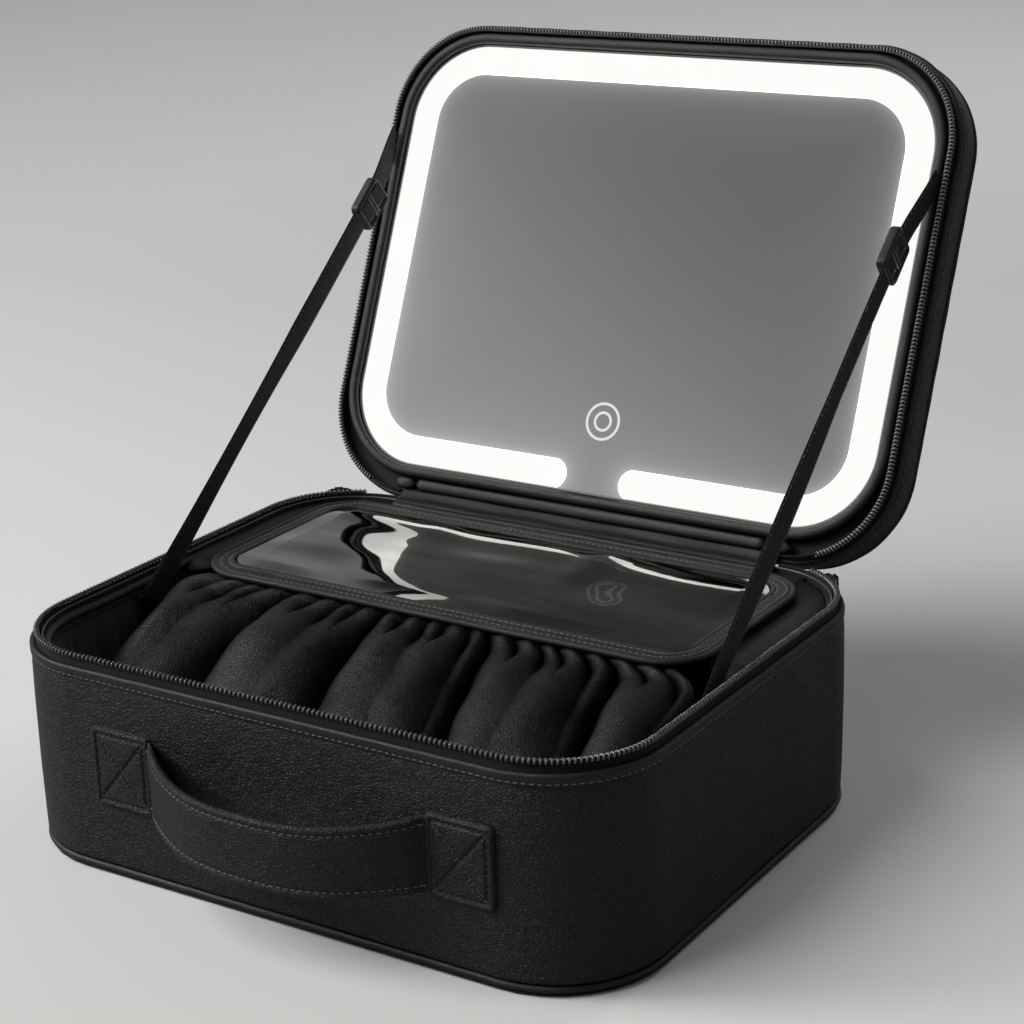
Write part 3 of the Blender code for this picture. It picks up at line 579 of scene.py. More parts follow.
def grid_faces(rows, columns, wrap_rows, wrap_columns):
    i = np.arange(rows if wrap_rows else rows - 1)
    j = np.arange(columns if wrap_columns else columns - 1)
    I, J = np.meshgrid(i, j, indexing="ij")
    I2, J2 = (I + 1) % rows, (J + 1) % columns
    faces = np.stack([I * columns + J, I2 * columns + J, I2 * columns + J2, I * columns + J2], -1)
    return faces.reshape(-1, 4), I.ravel(), J.ravel()


def shell_faces(rows, columns, second_up=False):
    """Faces of two equal point sheets and the rim that joins them."""
    size = rows * columns
    sheet, _, _ = grid_faces(rows, columns, False, False)
    ring = np.array(list(range(columns))
                    + [i * columns + columns - 1 for i in range(1, rows)]
                    + [(rows - 1) * columns + j for j in range(columns - 2, -1, -1)]
                    + [i * columns for i in range(rows - 2, 0, -1)])
    after = np.roll(ring, -1)
    if second_up:
        rim = np.stack([ring, after, after + size, ring + size], -1)
        return sheet, sheet[:, ::-1] + size, rim
    return sheet[:, ::-1], sheet + size, np.stack([ring, ring + size, after + size, after], -1)


def corner_uv(u0, u1, v0, v1):
    return np.stack([np.stack([u0, v0], -1), np.stack([u1, v0], -1),
                     np.stack([u1, v1], -1), np.stack([u0, v1], -1)], 1)


def sweep(name, path, offset, z, material, body, slot="case_leather", replaces=None):
    """Sweep a closed profile of inward offset and height round a path.  Either may
    have a row for each path point."""
    sides = offset.shape[-1]
    offset = np.broadcast_to(offset, (path.count, sides))
    z = np.broadcast_to(z, offset.shape)
    points = np.concatenate([path.inset(offset), z[..., None]], -1).reshape(-1, 3)
    faces, I, J = grid_faces(path.count, sides, path.closed, True)
    off0, z0 = offset[0], z[0]
    around = np.concatenate([[0], np.cumsum(np.hypot(np.diff(off0, append=off0[:1]),
                                                     np.diff(z0, append=z0[:1])))])
    run = np.concatenate([path.run, [path.length]])
    uv = corner_uv(run[I], run[I + 1], around[J], around[J + 1])
    # a profile given the other way round has its faces turned to look out
    turned = np.sum(off0 * np.roll(z0, -1) - np.roll(off0, -1) * z0) < 0
    if turned:
        faces, uv = faces[:, ::-1], uv[:, ::-1]
    faces, uv = faces.tolist(), uv.reshape(-1, 2)
    if not path.closed:
        first = list(range(sides))
        last = [(path.count - 1) * sides + k for k in range(sides)]
        faces += [first, last[::-1]] if turned else [first[::-1], last]
        cap = np.column_stack([off0, z0])
        uv = np.vstack([uv, cap, cap])
    return make(name, points, faces, material, body, uv, replaces)


def loft(name, rows, material, body=None, uv=None, replaces=None):
    """A capped solid through a row of closed sections, as an array of points."""
    count, sides = rows.shape[:2]
    faces, _, _ = grid_faces(count, sides, False, True)
    caps = [list(range(sides)), [(count - 1) * sides + k for k in range(sides)][::-1]]
    return face_out(make(name, rows.reshape(-1, 3), faces.tolist() + caps, material, body, uv,
                         replaces))


def across(x, y, z):
    """Sections at each x of a profile in y and z."""
    return np.stack(np.broadcast_arrays(x[:, None], y, z), -1)


def circle(offset, z, radius, sides, radius_z=None):
    angle = np.arange(sides) * 2 * PI / sides
    return offset + radius * np.cos(angle), z + (radius_z or radius) * np.sin(angle)


def rounded_box(o0, o1, z0, z1, radius, step=None, arc=4):
    """A rounded oblong profile; with a step, its long sides carry points too."""
    points = []
    for co, cz, start in ((o1 - radius, z1 - radius, 0), (o0 + radius, z1 - radius, 90),
                          (o0 + radius, z0 + radius, 180), (o1 - radius, z0 + radius, 270)):
        for i in range(arc + 1):
            angle = math.radians(start + 90 * i / arc)
            points.append((co + radius * math.cos(angle), cz + radius * math.sin(angle)))
    if step:
        dense = []
        for i, p in enumerate(points):
            q = points[(i + 1) % len(points)]
            count = max(1, int(math.hypot(q[0] - p[0], q[1] - p[1]) / step))
            dense += [(p[0] + (q[0] - p[0]) * j / count, p[1] + (q[1] - p[1]) * j / count)
                      for j in range(count)]
        points = dense
    return np.array(points).T


def squarish(wave, power):
    """A sine or cosine raised towards a square wave, sign kept."""
    return np.sign(wave) * np.abs(wave) ** power


def smoothstep(x, start, end):
    t = np.clip((x - start) / (end - start), 0, 1)
    return t * t * (3 - 2 * t)


def groove(distance, width):
    """A bell-shaped dip profile, 1 at its middle."""
    return np.exp(-(distance / width) ** 2)


def edge_round(depth, radius):
    """Rise of a quarter-round edge, from 0 at the rim to 1."""
    return np.sqrt(np.clip(1 - np.clip(1 - depth / radius, 0, 1) ** 2, 0, 1))


def waves(x, y, seed, count=5):
    """Slow repeatable waviness from a few sines."""
    rng = np.random.default_rng(seed)
    out = np.zeros(np.broadcast(x, y).shape)
    for i in range(count):
        angle = rng.uniform(0, 2 * PI)
        out += math.pow(0.62, i) * np.sin(1.7 ** i * (x * math.cos(angle) + y * math.sin(angle))
                                          + rng.uniform(0, 6.28))
    return out


def loop_waves(path, radius, seed, lift=0.0):
    """Waviness that joins up round a closed path, a row for each path point."""
    angle = path.run[:, None] / path.length * 2 * PI
    return waves(radius * np.cos(angle), radius * np.sin(angle) + lift, seed)


def cord_wobble(path):
    run = path.run[:, None]
    return 0.05 * np.sin(run * 2 * PI / 17) + 0.03 * np.sin(run / 3.1)


def tubes(name, curves, radius, material, body, replaces=None, sides=6, closed=False):
    """Round wires along point lists; open ones have capped ends."""
    all_points, all_faces, all_uv, base = [], [], [], 0
    for curve in curves:
        curve = np.asarray(curve, float)
        n = len(curve)
        if closed:
            tangent = np.roll(curve, -1, 0) - np.roll(curve, 1, 0)
        else:
            tangent = np.gradient(curve, axis=0)
        tangent /= np.linalg.norm(tangent, axis=1)[:, None] + 1e-12
        up = np.array((0, 0, 1.0)) if abs(tangent[0, 2]) < 0.9 else np.array((1.0, 0, 0))
        # carry one cross direction along the curve without twist
        first = np.empty_like(curve)
        carried = np.cross(tangent[0], up)
        for i in range(n):
            carried = carried - tangent[i] * (carried @ tangent[i])
            carried /= np.linalg.norm(carried) + 1e-12
            first[i] = carried
        second = np.cross(tangent, first)
        radii = radius if np.ndim(radius) else np.full(n, float(radius))
        angle = (np.arange(sides) * 2 * PI / sides)[None, :, None]
        ring = curve[:, None] + radii[:, None, None] * (np.cos(angle) * first[:, None]
                                                        + np.sin(angle) * second[:, None])
        all_points.append(ring.reshape(-1, 3))
        faces, I, J = grid_faces(n, sides, closed, True)
        run = np.cumsum(np.linalg.norm(np.diff(curve, axis=0), axis=1))
        run = np.concatenate([[0], run, [run[-1] + 1]])
        width = 2 * PI * radii[0] / sides
        all_faces += (faces + base).tolist()
        all_uv.append(corner_uv(run[I], run[I + 1], J * width, (J + 1) * width).reshape(-1, 2))
        if not closed:
            all_faces += [[base + k for k in range(sides)][::-1],
                          [base + (n - 1) * sides + k for k in range(sides)]]
            all_uv.append(np.zeros((2 * sides, 2)))
        base += n * sides
    return make(name, np.vstack(all_points), all_faces, material, body, np.vstack(all_uv),
                replaces)


def stitches(name, runs, material, body, length, radius, sink=0.16):
    """Thread stitches: short bowed capsules whose ends dip into the surface.
    runs is a list of (centres, directions along, directions out)."""
    t = np.linspace(-1, 1, 5)[:, None]
    bow = radius * 0.55 - t ** 4 * (sink + radius)
    curves = [centre + along * (t * length / 2) + out * bow
              for run in runs for centre, along, out in zip(*run)]
    radii = np.array((0.55, 0.95, 1.0, 0.95, 0.55)) * radius
    return tubes(name, curves, radii, material, body, sides=5)


def stitch_run(path, offset, z, pitch, facing="out", start=0.0):
    """Stitch places along a path, on its outer or inner wall or on a face looking up."""
    run = np.arange(start + pitch / 2, path.length - pitch / 4, pitch)
    centres, normal = path.at(run, offset, z)
    flat = np.zeros(len(run))
    along = np.column_stack([-normal[:, 1], normal[:, 0], flat])
    if facing == "up":
        out = np.tile((0, 0, 1.0), (len(run), 1))
    else:
        out = np.column_stack([normal, flat]) * (1 if facing == "out" else -1)
    return centres, along, out


def outline_depth(x, y, half_x, half_y, radius):
    """Distance in from a rounded rectangle centred on the origin."""
    over_x, over_y = np.abs(x) - (half_x - radius), np.abs(y) - (half_y - radius)
    return radius - (np.hypot(np.maximum(over_x, 0), np.maximum(over_y, 0))
                     + np.minimum(np.maximum(over_x, over_y), 0))


def rounded_grid(half_a, half_b, cells_a, cells_b, radius):
    """A grid over a rounded rectangle, corner points pulled in, with their depths."""
    A, B = np.meshgrid(np.linspace(-half_a, half_a, cells_a + 1),
                       np.linspace(-half_b, half_b, cells_b + 1), indexing="ij")
    depth = outline_depth(A, B, half_a, half_b, radius)
    scale = np.where(depth < 0, 1.0 + depth / (np.hypot(A, B) + 1e-6), 1.0)
    return A * scale, B * scale, np.maximum(depth, 0)


def slab(name, half_x, front, rear, radius, z_low, z_high, material, body, nx=60, ny=40,
         top=None, bottom=None, edge=1.0, slot="case_leather", replaces=None):
    """A soft-edged plate.  top(x, y, depth) and bottom(x, y, depth) add height, where
    depth is the distance in from the outline; the rim is rounded by edge."""
    # rows crowd towards the rounded ends, columns towards the sides
    bend = np.linspace(0, PI / 2, max(6, int(ny * 0.22)) + 1)
    y = np.concatenate([front + radius * (1 - np.cos(bend)),
                        np.linspace(front + radius, rear - radius, ny)[1:-1],
                        rear - radius * (1 - np.cos(bend[::-1]))])
    spread = np.sin(np.linspace(-PI / 2, PI / 2, nx + 1) * 0.92) / math.sin(PI / 2 * 0.92)
    past = np.maximum(np.maximum(front + radius - y, y - (rear - radius)), 0)
    half = half_x - radius + np.sqrt(np.maximum(radius * radius - past * past, 0))
    X = np.maximum(half, 1.0)[:, None] * spread[None]
    Y = np.broadcast_to(y[:, None], X.shape)
    depth = np.maximum(outline_depth(X, Y - (front + rear) / 2, half_x, (rear - front) / 2,
                                     radius), 0)
    edge = min(edge, (z_high - z_low) / 2 - 0.02)
    drop = np.where(depth < edge,
                    edge - np.sqrt(np.maximum(edge * edge - (edge - depth) ** 2, 0)), 0)
    upper = z_high - drop + (top(X, Y, depth) if top else 0)
    lower = z_low + drop + (bottom(X, Y, depth) if bottom else 0)
    upper = np.maximum(upper, lower + 0.02)
    points = np.stack([np.stack([X, Y, upper], -1), np.stack([X, Y, lower], -1)])
    return make(name, points.reshape(-1, 3), np.vstack(shell_faces(*X.shape)), material, body,
                None, replaces)


def fitted_slab(name, node, radius, material, body, lift=0.0, **options):
    """A slab that fills the box of the frame piece it replaces."""
    low, high = box_mm(node)
    return slab(name, high[0], low[1], high[1], radius, low[2], high[2] + lift, material, body,
                replaces=node, **options)


# ============================ paths ===========================================
BASE = Path(HALF_X, -HALF_Y, HALF_Y, CORNER, step=2.2, arc_step=1.6)
BASE_FINE = Path(HALF_X, -HALF_Y, HALF_Y, CORNER, step=1.0)
BASE_OPEN = Path(HALF_X, -HALF_Y, HALF_Y, CORNER, step=2.2, arc_step=1.6, opened=True)
LID = Path(HALF_X, LID_FRONT, LID_REAR, CORNER, step=2.2, arc_step=1.6)
LID_OPEN = Path(HALF_X, LID_FRONT, LID_REAR, CORNER, step=2.2, arc_step=1.6, opened=True)
BAND = Path(LED_HALF_X, LED_FRONT, LED_REAR, LED_R, step=2.0, arc_step=1.4)
FLAP = Path(FLAP_HALF_X, FLAP_FRONT, FLAP_REAR, FLAP_R, step=2.0, arc_step=1.2)


# ============================ base shell ======================================
def wall_leather(name, path, low, high, rim, rows, inner_rows, relief, body, replaces):
    """An upright wall with rounded rims; relief(run, height) moves its outer face in."""
    foot, head = np.radians(np.linspace(-80, 0, 4)), np.radians(np.linspace(10, 90, 4))
    height = np.concatenate([low + rim + rim * np.sin(foot),
                             np.linspace(low + rim, high - rim, rows)[1:-1],
                             high - rim + rim * np.sin(head)])
    offset = np.concatenate([WALL_IN + rim - rim * np.cos(foot), np.full(rows - 2, WALL_IN),
                             WALL_IN + rim - rim * np.cos(head)])
    outer = offset[None] + relief(path.run[:, None], height[None])
    inner = np.full((path.count, inner_rows), WALL_IN + 2.2)
    inner_height = np.linspace(high - 0.3, low + 0.3, inner_rows)
    return sweep(name, path, np.hstack([outer, inner]), np.concatenate([height, inner_height]),
                 LEATHER, body, replaces=replaces)


def base_relief(run, height):
    """Padding bulge, slow unevenness, the sewn seam and the puckers under it."""
    rise = np.clip((height - WALL_LOW) / (WALL_HIGH - WALL_LOW), 0, 1)
    return (-0.45 * np.sin(rise * PI) ** 0.6
            + loop_waves(BASE, 9, 3, height / 34) * 0.16
            + 0.30 * groove(height - 74.4, 0.9)
            + 0.07 * np.sin(run * 2 * PI / 6.4 + np.sin(run / 21) * 2)
            * groove(height - 70.2, 2.2))


def piping(name, path, z, body, replaces):
    """Leather over a cord."""
    offset, height = circle(PIPE_R, z, PIPE_R, 18)
    return sweep(name, path, offset[None] + cord_wobble(path), height, ROLL_LEATHER, body,
                 replaces=replaces)


wall_leather("base_wall_leather", BASE, WALL_LOW, WALL_HIGH, rim=1.2, rows=46, inner_rows=6,
             relief=base_relief, body="base", replaces="base_wall")
stitches("base_wall_top_stitches", [stitch_run(BASE, 0.12, 75.85, 2.7)], THREAD, "base",
         length=1.9, radius=0.2)

# binding band round the top, nicked on its outer face where the thread lies
offset, height = rounded_box(-0.15, 2.2, 74.7, 79.2, 1.05, step=0.5, arc=6)
nick = 0.28 * groove(height - 75.9, 0.4) * (offset < 1)
sweep("base_top_binding_band", BASE, offset + cord_wobble(BASE) + nick, height, ROLL_LEATHER,
      "base", replaces="base_top_piping")
piping("base_bottom_piping_bead", BASE, BOTTOM_PIPE_Z, "base", "base_bottom_piping")

fitted_slab("base_underside_leather", "base_underside", CORNER - 0.8, LEATHER, "base", edge=0.4)
dress("base_floor_board", CARD)


# ============================ zip ==============================================
def zip_tape(body, path, z_seam, z_coil):
    """Tape from the seam behind the piping to the coil."""
    reach = abs(z_coil - z_seam)
    offset = np.array([1.5, 1.9, 2.35, 2.65, 2.85, 3.5, 3.3, 3.0, 2.6, 2.1])
    rise = np.array([0.0, 1.4, 2.9, 4.2, reach, reach, 4.0, 2.7, 1.2, -0.4])
    sweep(body + "_zip_tape_knit", path, offset, z_seam + (1 if z_coil > z_seam else -1) * rise,
          TAPE, body, "zip_tape_cloth", body + "_zip_tape")


TAPE_SEAM_Z, TAPE_END_Z = 76.6, COIL_Z - 0.6
zip_tape("base", BASE_OPEN, TAPE_SEAM_Z, TAPE_END_Z)
zip_tape("lid", LID_OPEN, lid_height(TAPE_SEAM_Z), lid_height(COIL_Z) + 0.6)


def zip_coil(body, front, rear, z, material, pitch, wire, turn_points):
    """A helix of drawn nylon round a cord; its ends stop part-way round the corners."""
    path = Path(HALF_X, front, rear, CORNER, step=1.0, opened=True, skip=22.5)
    reach = COIL_R - wire
    count = int(path.length / pitch * turn_points)
    angle = 2 * PI * np.arange(count) / turn_points
    lean = 0.28 * pitch * np.sin(angle)
    points, normal = path.at(np.linspace(0, path.length, count), 0, 0)
    along = np.column_stack([-normal[:, 1], normal[:, 0]])
    inward = COIL_IN + reach * squarish(np.cos(angle), 0.8)
    xy = points[:, :2] - normal * inward[:, None] + along * lean[:, None]
    helix = np.column_stack([xy, z + reach * squarish(np.sin(angle), 0.8)])
    name = body + "_zip_coil_helix"
    tubes(name, [helix], wire, material, body, body + "_zip_coil")
    cord, _ = path.at(np.linspace(0, path.length, int(path.length / 2)), COIL_IN, z)
    tubes(name + "_cord", [cord], 0.5, TAPE, body)


zip_coil("base", -HALF_Y, HALF_Y, COIL_Z, COIL, pitch=1.95, wire=0.50, turn_points=12)
zip_coil("lid", LID_FRONT, LID_REAR, lid_height(COIL_Z), LID_COIL, pitch=1.5, wire=0.42,
         turn_points=11)


# ============================ lining ===========================================
def channel_depth(path):
    """Padding of the sewn channels: 10 on each side, 12 on each end, even corners."""
    def ribs(place, half, count):
        return np.abs(np.sin(PI * (place + half) / (2 * half / count))) ** 0.55

    side, end = (np.abs(path.normals) > 0.999).T * 1.0
    return (ribs(path.points[:, 1], HALF_Y - CORNER, 10) * side
            + ribs(path.points[:, 0], HALF_X - CORNER, 12) * end
            + 0.75 * (1 - side) * (1 - end))


height = np.concatenate([[5.6], np.linspace(6.6, 72.8, 24), [73.9]])
fade = np.concatenate([[0.0], np.sin(np.linspace(0.02, PI - 0.02, 24)) ** 0.25, [0.0]])
crease = 0.16 * waves(BASE_FINE.run[:, None] / 5.0, height[None] / 9.0, 11)
inner = 5.05 + (channel_depth(BASE_FINE)[:, None] + crease) * fade
sweep("base_lining_padded", BASE_FINE, np.hstack([inner, np.full((BASE_FINE.count, 3), 4.0)]),
      np.concatenate([height, [73.5, 40.0, 6.0]]), WALL_LINING, "base", "lining_cloth",
      "base_lining_wall")
# a folded binding over the lining's upper edge
sweep("base_lining_binding", BASE, *rounded_box(4.9, 6.9, 73.6, 76.0, 0.7), ROLL_LEATHER,
      "base", "webbing", "base_inner_binding")
stitches("base_lining_binding_stitches", [stitch_run(BASE, 6.95, 74.5, 2.8, "in")],
         PALE_THREAD, "base", length=1.8, radius=0.15)

# padded rim roll, uneven on its inner half and in height
offset, height = circle(5.9, 77.5, 1.95, 20, 1.9)
wobble = 0.10 * loop_waves(BASE, 14, 5)
inner_half = np.cos(np.arange(20) * 2 * PI / 20) > 0
sweep("base_rim_roll_padded", BASE, offset + wobble * inner_half * 0.6, height + wobble * 0.8,
      ROLL_LEATHER, "base", replaces="base_rim_roll")

FINE_BEAD = nylon("fine_bead_sheen", base=(0.03, 0.03, 0.03), rough=0.4)
offset, height = circle(4.75, 80.9, 0.45, 10)
sweep("base_rim_fine_bead", BASE, offset, height + 0.05 * np.sin(BASE.run[:, None] / 6.0),
      FINE_BEAD, "base")
sweep("base_rim_facing", BASE, *rounded_box(3.9, 5.2, 77.5, 80.7, 0.5, arc=3), TAPE, "base",
      "zip_tape_cloth")

fitted_slab("base_lining_floor_cloth", "base_lining_floor", CORNER - 6.4, LINING, "base",
            edge=0.4, slot="lining_cloth")


def quilt(x, y, depth):
    """Diamond quilting inside a sewn border."""
    pitch = 30.0
    puff = (np.abs(np.sin(PI * (x + y) / pitch)) ** 0.5
            * np.abs(np.sin(PI * (x - y) / pitch)) ** 0.5)
    return -1.75 + 1.1 * puff - 0.8 * groove(depth - 5, 1.0)


fitted_slab("floor_pad_quilted", "floor_pad", CORNER - 9.0, DIVIDER_CLOTH, "base", lift=0.4,
            nx=170, ny=130, top=quilt, edge=1.4, slot="lining_cloth")


def divider(node, body, along_y):
    """A padded board with a sewn border and a bound edge."""
    low, high = box_mm(node)
    centre, half = (low + high) / 2, (high - low) / 2
    length, thick = (half[1], half[0]) if along_y else (half[0], half[1])
    height, corner, spacing = half[2], 5.0, 2.0
    A, B, depth = rounded_grid(length, height, int(2 * length / spacing), 30, corner)
    puff = thick * np.minimum(1, 0.35 + 0.65 * np.sqrt(np.clip(depth / 3.0, 0, 1)))
    puff = puff - 0.35 * groove(depth - 4.2, 0.7)
    puff += 0.10 * waves(A / 18, B / 18, 9) * np.clip(depth / 6, 0, 1) - 0.1
    puff = np.clip(puff, 0.3, thick + 0.25)
    points = np.stack([np.stack([A, puff, B], -1), np.stack([A, -puff, B], -1)]).reshape(-1, 3)
    if along_y:
        points = points[:, [1, 0, 2]] * np.array((-1, 1, 1))
    name = node + "_padded"
    sheet, other, rim = shell_faces(*A.shape)
    # here the rim is wound the other way from the sheets
    face_out(make(name, points + centre, np.vstack([sheet, other, rim[:, ::-1]]),
                  DIVIDER_CLOTH, body, replaces=node))
    outline = Path(length, -height, height, corner, step=3.0)
    edge = outline.points - outline.normals * 0.35
    edge = np.column_stack([edge[:, 0], np.zeros(len(edge)), edge[:, 1]])
    if along_y:
        edge = edge[:, [1, 0, 2]]
    tubes(name + "_edge", [edge + centre], 0.8, LINING, body, sides=8, closed=True)


divider("divider_long", "base", along_y=False)
divider("divider_left", "left_divider", along_y=True)
divider("divider_right", "right_divider", along_y=True)


# ============================ handle ============================================
def handle_patch(node):
    """A leather patch sewn to the front wall round its border and along both diagonals."""
    low, high = box_mm(node)
    centre_x, centre_z = (low[0] + high[0]) / 2, (low[2] + high[2]) / 2
    half_x, half_z = (high[0] - low[0]) / 2 + 0.3, (high[2] - low[2]) / 2 + 0.3
    seat, face, thick, border = high[1] + 0.15, high[1] - 0.15, 1.9, 2.7
    A, B, depth = rounded_grid(half_x, half_z, 84, 84, 2.2)
    sew_x, sew_z = half_x - border, half_z - border
    border_gap = np.abs(np.minimum(sew_x - np.abs(A), sew_z - np.abs(B)))
    inside = (np.abs(A) < sew_x) & (np.abs(B) < sew_z)
    diagonals = [np.where(inside, np.abs(A * sew_z + sign * B * sew_x)
                          / math.hypot(sew_x, sew_z), 9) for sign in (-1, 1)]
    gap = np.minimum(border_gap, np.minimum(*diagonals))
    puff = thick * edge_round(depth, 1.3)
    puff = puff - 0.75 * groove(gap, 0.55) + 0.18 * np.clip(gap / 3, 0, 1)
    puff = np.maximum(puff, 0.0)
    front = np.stack([A + centre_x, face - puff, B + centre_z], -1)
    back = np.stack([A + centre_x, np.full(A.shape, seat), B + centre_z], -1)
    name = node + "_leather"
    face_out(make(name, np.stack([front, back]).reshape(-1, 3),
                  np.vstack(shell_faces(*A.shape, second_up=True)), HANDLE_LEATHER, "base",
                  replaces=node))
    # the thread lies at the bottom of the sewn grooves
    thread_y, pitch = face - thick + 0.66, 2.35
    a, b, c, d = (np.array((x * sew_x, z * sew_z))
                  for x, z in ((-1, -1), (1, -1), (1, 1), (-1, 1)))
    runs = []
    for p, q in ((a, b), (b, c), (c, d), (d, a), (a, c), (d, b)):
        length = np.linalg.norm(q - p)
        count = max(1, int(round(length / pitch)))
        along = (q - p) / length
        line = p + (q - p) * (np.arange(count)[:, None] + 0.5) / count
        centres = np.column_stack([centre_x + line[:, 0], np.full(count, thread_y),
                                   centre_z + line[:, 1]])
        runs.append((centres, np.tile((along[0], 0, along[1]), (count, 1)),
                     np.tile((0, -1.0, 0), (count, 1))))
    stitches(name + "_stitches", runs, DARK_THREAD, "base", length=1.7, radius=0.2, sink=0.05)


handle_patch("handle_patch_left")
handle_patch("handle_patch_right")

left_low, left_high = box_mm("handle_patch_left")
right_low, right_high = box_mm("handle_patch_right")
HANDLE_X = (left_low[0] + right_high[0]) / 2
HANDLE_SPAN = (right_low[0] - left_high[0]) / 2
HANDLE_Z = (left_low[2] + left_high[2]) / 2
GRIP_SEW = 3.0                                # sewn line, in from each edge of the grip


def grip_centre(t):
    """Centre line of the grip; t runs from -1 at one patch to 1 at the other."""
    arch = np.clip(1 - np.abs(t) ** 2.6, 0, 1)
    tuck = smoothstep(np.abs(t), 0.90, 1.0)
    return (HANDLE_X + t * HANDLE_SPAN, -HALF_Y - 1.8 - 22.0 * arch ** 1.15 + 1.15 * tuck,
            HANDLE_Z - 3.2 * arch)


def grip_half_height(t):
    return 14.0 - 1.0 * (1 - np.minimum(np.abs(t), 1) ** 4)


def handle_grip():
    """Folded leather strap with rounded edges and a sewn line near each."""
    t = squarish(np.linspace(-1, 1, 121), 0.80) * 1.035
    x, y, z = grip_centre(t)
    dx, dy = np.gradient(x), np.gradient(y)
    length = np.hypot(dx, dy)
    out_x, out_y = dy / length, -dx / length
    thin = (1 - 0.5 * np.clip((np.abs(t) - 0.92) / 0.08, 0, 1))[:, None]
    half = grip_half_height(t)[:, None]
    q = squarish(np.linspace(-1, 1, 44), 0.8)[None]
    depth = (1 - np.abs(q)) * half
    edge = 1.5 * edge_round(depth, 1.4)
    wrinkle = 0.10 * waves(t[:, None] * 6, q * 1.5, 21) * np.clip(depth / 4, 0, 1)
    front, back = (
        np.stack([x[:, None] + out_x[:, None] * rise * thin,
                  y[:, None] + out_y[:, None] * rise * thin, z[:, None] + half * q], -1)
        for rise in (edge - 0.45 * groove(depth - GRIP_SEW, 0.55) + wrinkle, -edge))
    grip = loft("handle_grip_leather", np.concatenate([front, back[:, ::-1][:, 1:-1]], 1),
                HANDLE_LEATHER, replaces="handle_strap")

    run = np.cumsum(np.hypot(length, np.gradient(z)))
    at = np.arange(np.interp(-0.985, t, run), np.interp(0.985, t, run), 2.7)
    at = np.interp(at, run, t)
    centre = np.column_stack(grip_centre(at))
    along = np.column_stack(grip_centre(at + 0.01)) - centre
    along /= np.linalg.norm(along, axis=1)[:, None]
    out = np.column_stack([along[:, 1], -along[:, 0], 0 * at])
    out /= np.linalg.norm(out, axis=1)[:, None]
    rise = np.column_stack([0 * at, 0 * at, grip_half_height(at) - GRIP_SEW])
    runs = [(centre + side * rise + out * 1.08, along, out) for side in (-1, 1)]
    thread = stitches("handle_grip_stitches", runs, THREAD, None, length=2.0, radius=0.2)
    for ob in (grip, thread):
        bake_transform(ob)


handle_grip()

# ============================ window flap =======================================
fitted_slab("flap_board_cloth", "flap_board", FLAP_R - 2.9, LINING, "flap", nx=50, ny=40,
            edge=0.8, slot="lining_cloth")

offset, height = circle(PIPE_R, FLAP_Z, PIPE_R, 16)
wobble = 0.09 * waves(FLAP.points[:, :1] / 16, FLAP.points[:, 1:] / 16, 4)
sweep("flap_binding_bead", FLAP, offset + wobble * 0.3, height + wobble, FLAP_LEATHER, "flap",
      replaces="flap_binding")

# soft leather border with a raised inner lip: inward offset, height
BORDER = np.array([
    (2.3, 82.3), (2.35, 82.75), (3.2, 83.05), (3.9, 82.75), (4.6, 83.08), (5.6, 83.15),
    (6.6, 83.1), (7.2, 82.8), (7.6, 83.1), (8.1, 83.5), (8.7, 83.62), (9.2, 83.45),
    (9.5, 83.1), (9.5, 82.5), (9.2, 82.35), (5.0, 82.3), (2.6, 82.25)])
offset, height = BORDER.T
spot = FLAP.inset(offset)
sweep("flap_border_leather", FLAP, offset,
      height + 0.10 * waves(spot[..., 0] / 20, spot[..., 1] / 20, 8) * (height > 82.6),
      FLAP_LEATHER, "flap", replaces="flap_frame")
stitches("flap_border_stitches", [stitch_run(FLAP, 3.9, 82.84, 2.6, "up"),
                                  stitch_run(FLAP, 7.2, 82.9, 2.6, "up", start=1.2)],
         PALE_THREAD, "flap", length=1.75, radius=0.17, sink=0.1)

WINDOW_IN = 9.0                               # film edge, in from the flap's outline
WINDOW_FRONT, WINDOW_REAR = FLAP_FRONT + WINDOW_IN, FLAP_REAR - WINDOW_IN


def film_height(x, y, depth):
    """Ripples of a clear film that never lies flat."""
    y = y - (WINDOW_FRONT + WINDOW_REAR) / 2
    h = (0.50 * np.sin(x / 30.0 + 0.6)
         + 0.10 * np.sin(y / 12.5 - 0.5 * np.sin(x / 31.0) + 1.1)
         + 0.12 * np.sin((x - 1.3 * y) / 13.0 + 2.2)
         + 0.05 * np.sin((x * 0.6 + y) / 6.5 + 0.4))
    # rucked on the left, with a swell near the left edge and a slanting ridge
    h = h + 0.62 * groove(x + 48, 34) * ((x + 48) / 34) * np.sin(y / 5.2 + 0.6 + x / 60.0)
    h = h + 0.8 * groove(x + 80, 22)
    h = h + 0.85 * groove(x + 40 + 0.25 * y, 11.0)
    # a ridge right of the middle, in the rear half only
    h = h + 1.1 * groove(x - 30.0, 8.0) * (0.5 + 0.5 * np.tanh((y - 2.0) / 11.0))
    # one long ridge along the rear
    ridge_y = 25.5 - 0.05 * x + 2.0 * np.sin(x / 16.0 + 1.0)
    h = h + 1.1 * groove(y - ridge_y, 9.0)
    return np.clip(depth / 9.0, 0, 1) ** 1.3 * (h + 0.35)


slab("flap_film", FLAP_HALF_X - WINDOW_IN, WINDOW_FRONT, WINDOW_REAR, FLAP_R - 6.0, 82.78,
     83.05, FILM, "flap", nx=260, ny=130, top=film_height, bottom=film_height, edge=0.12,
     slot="clear_film", replaces="flap_window")

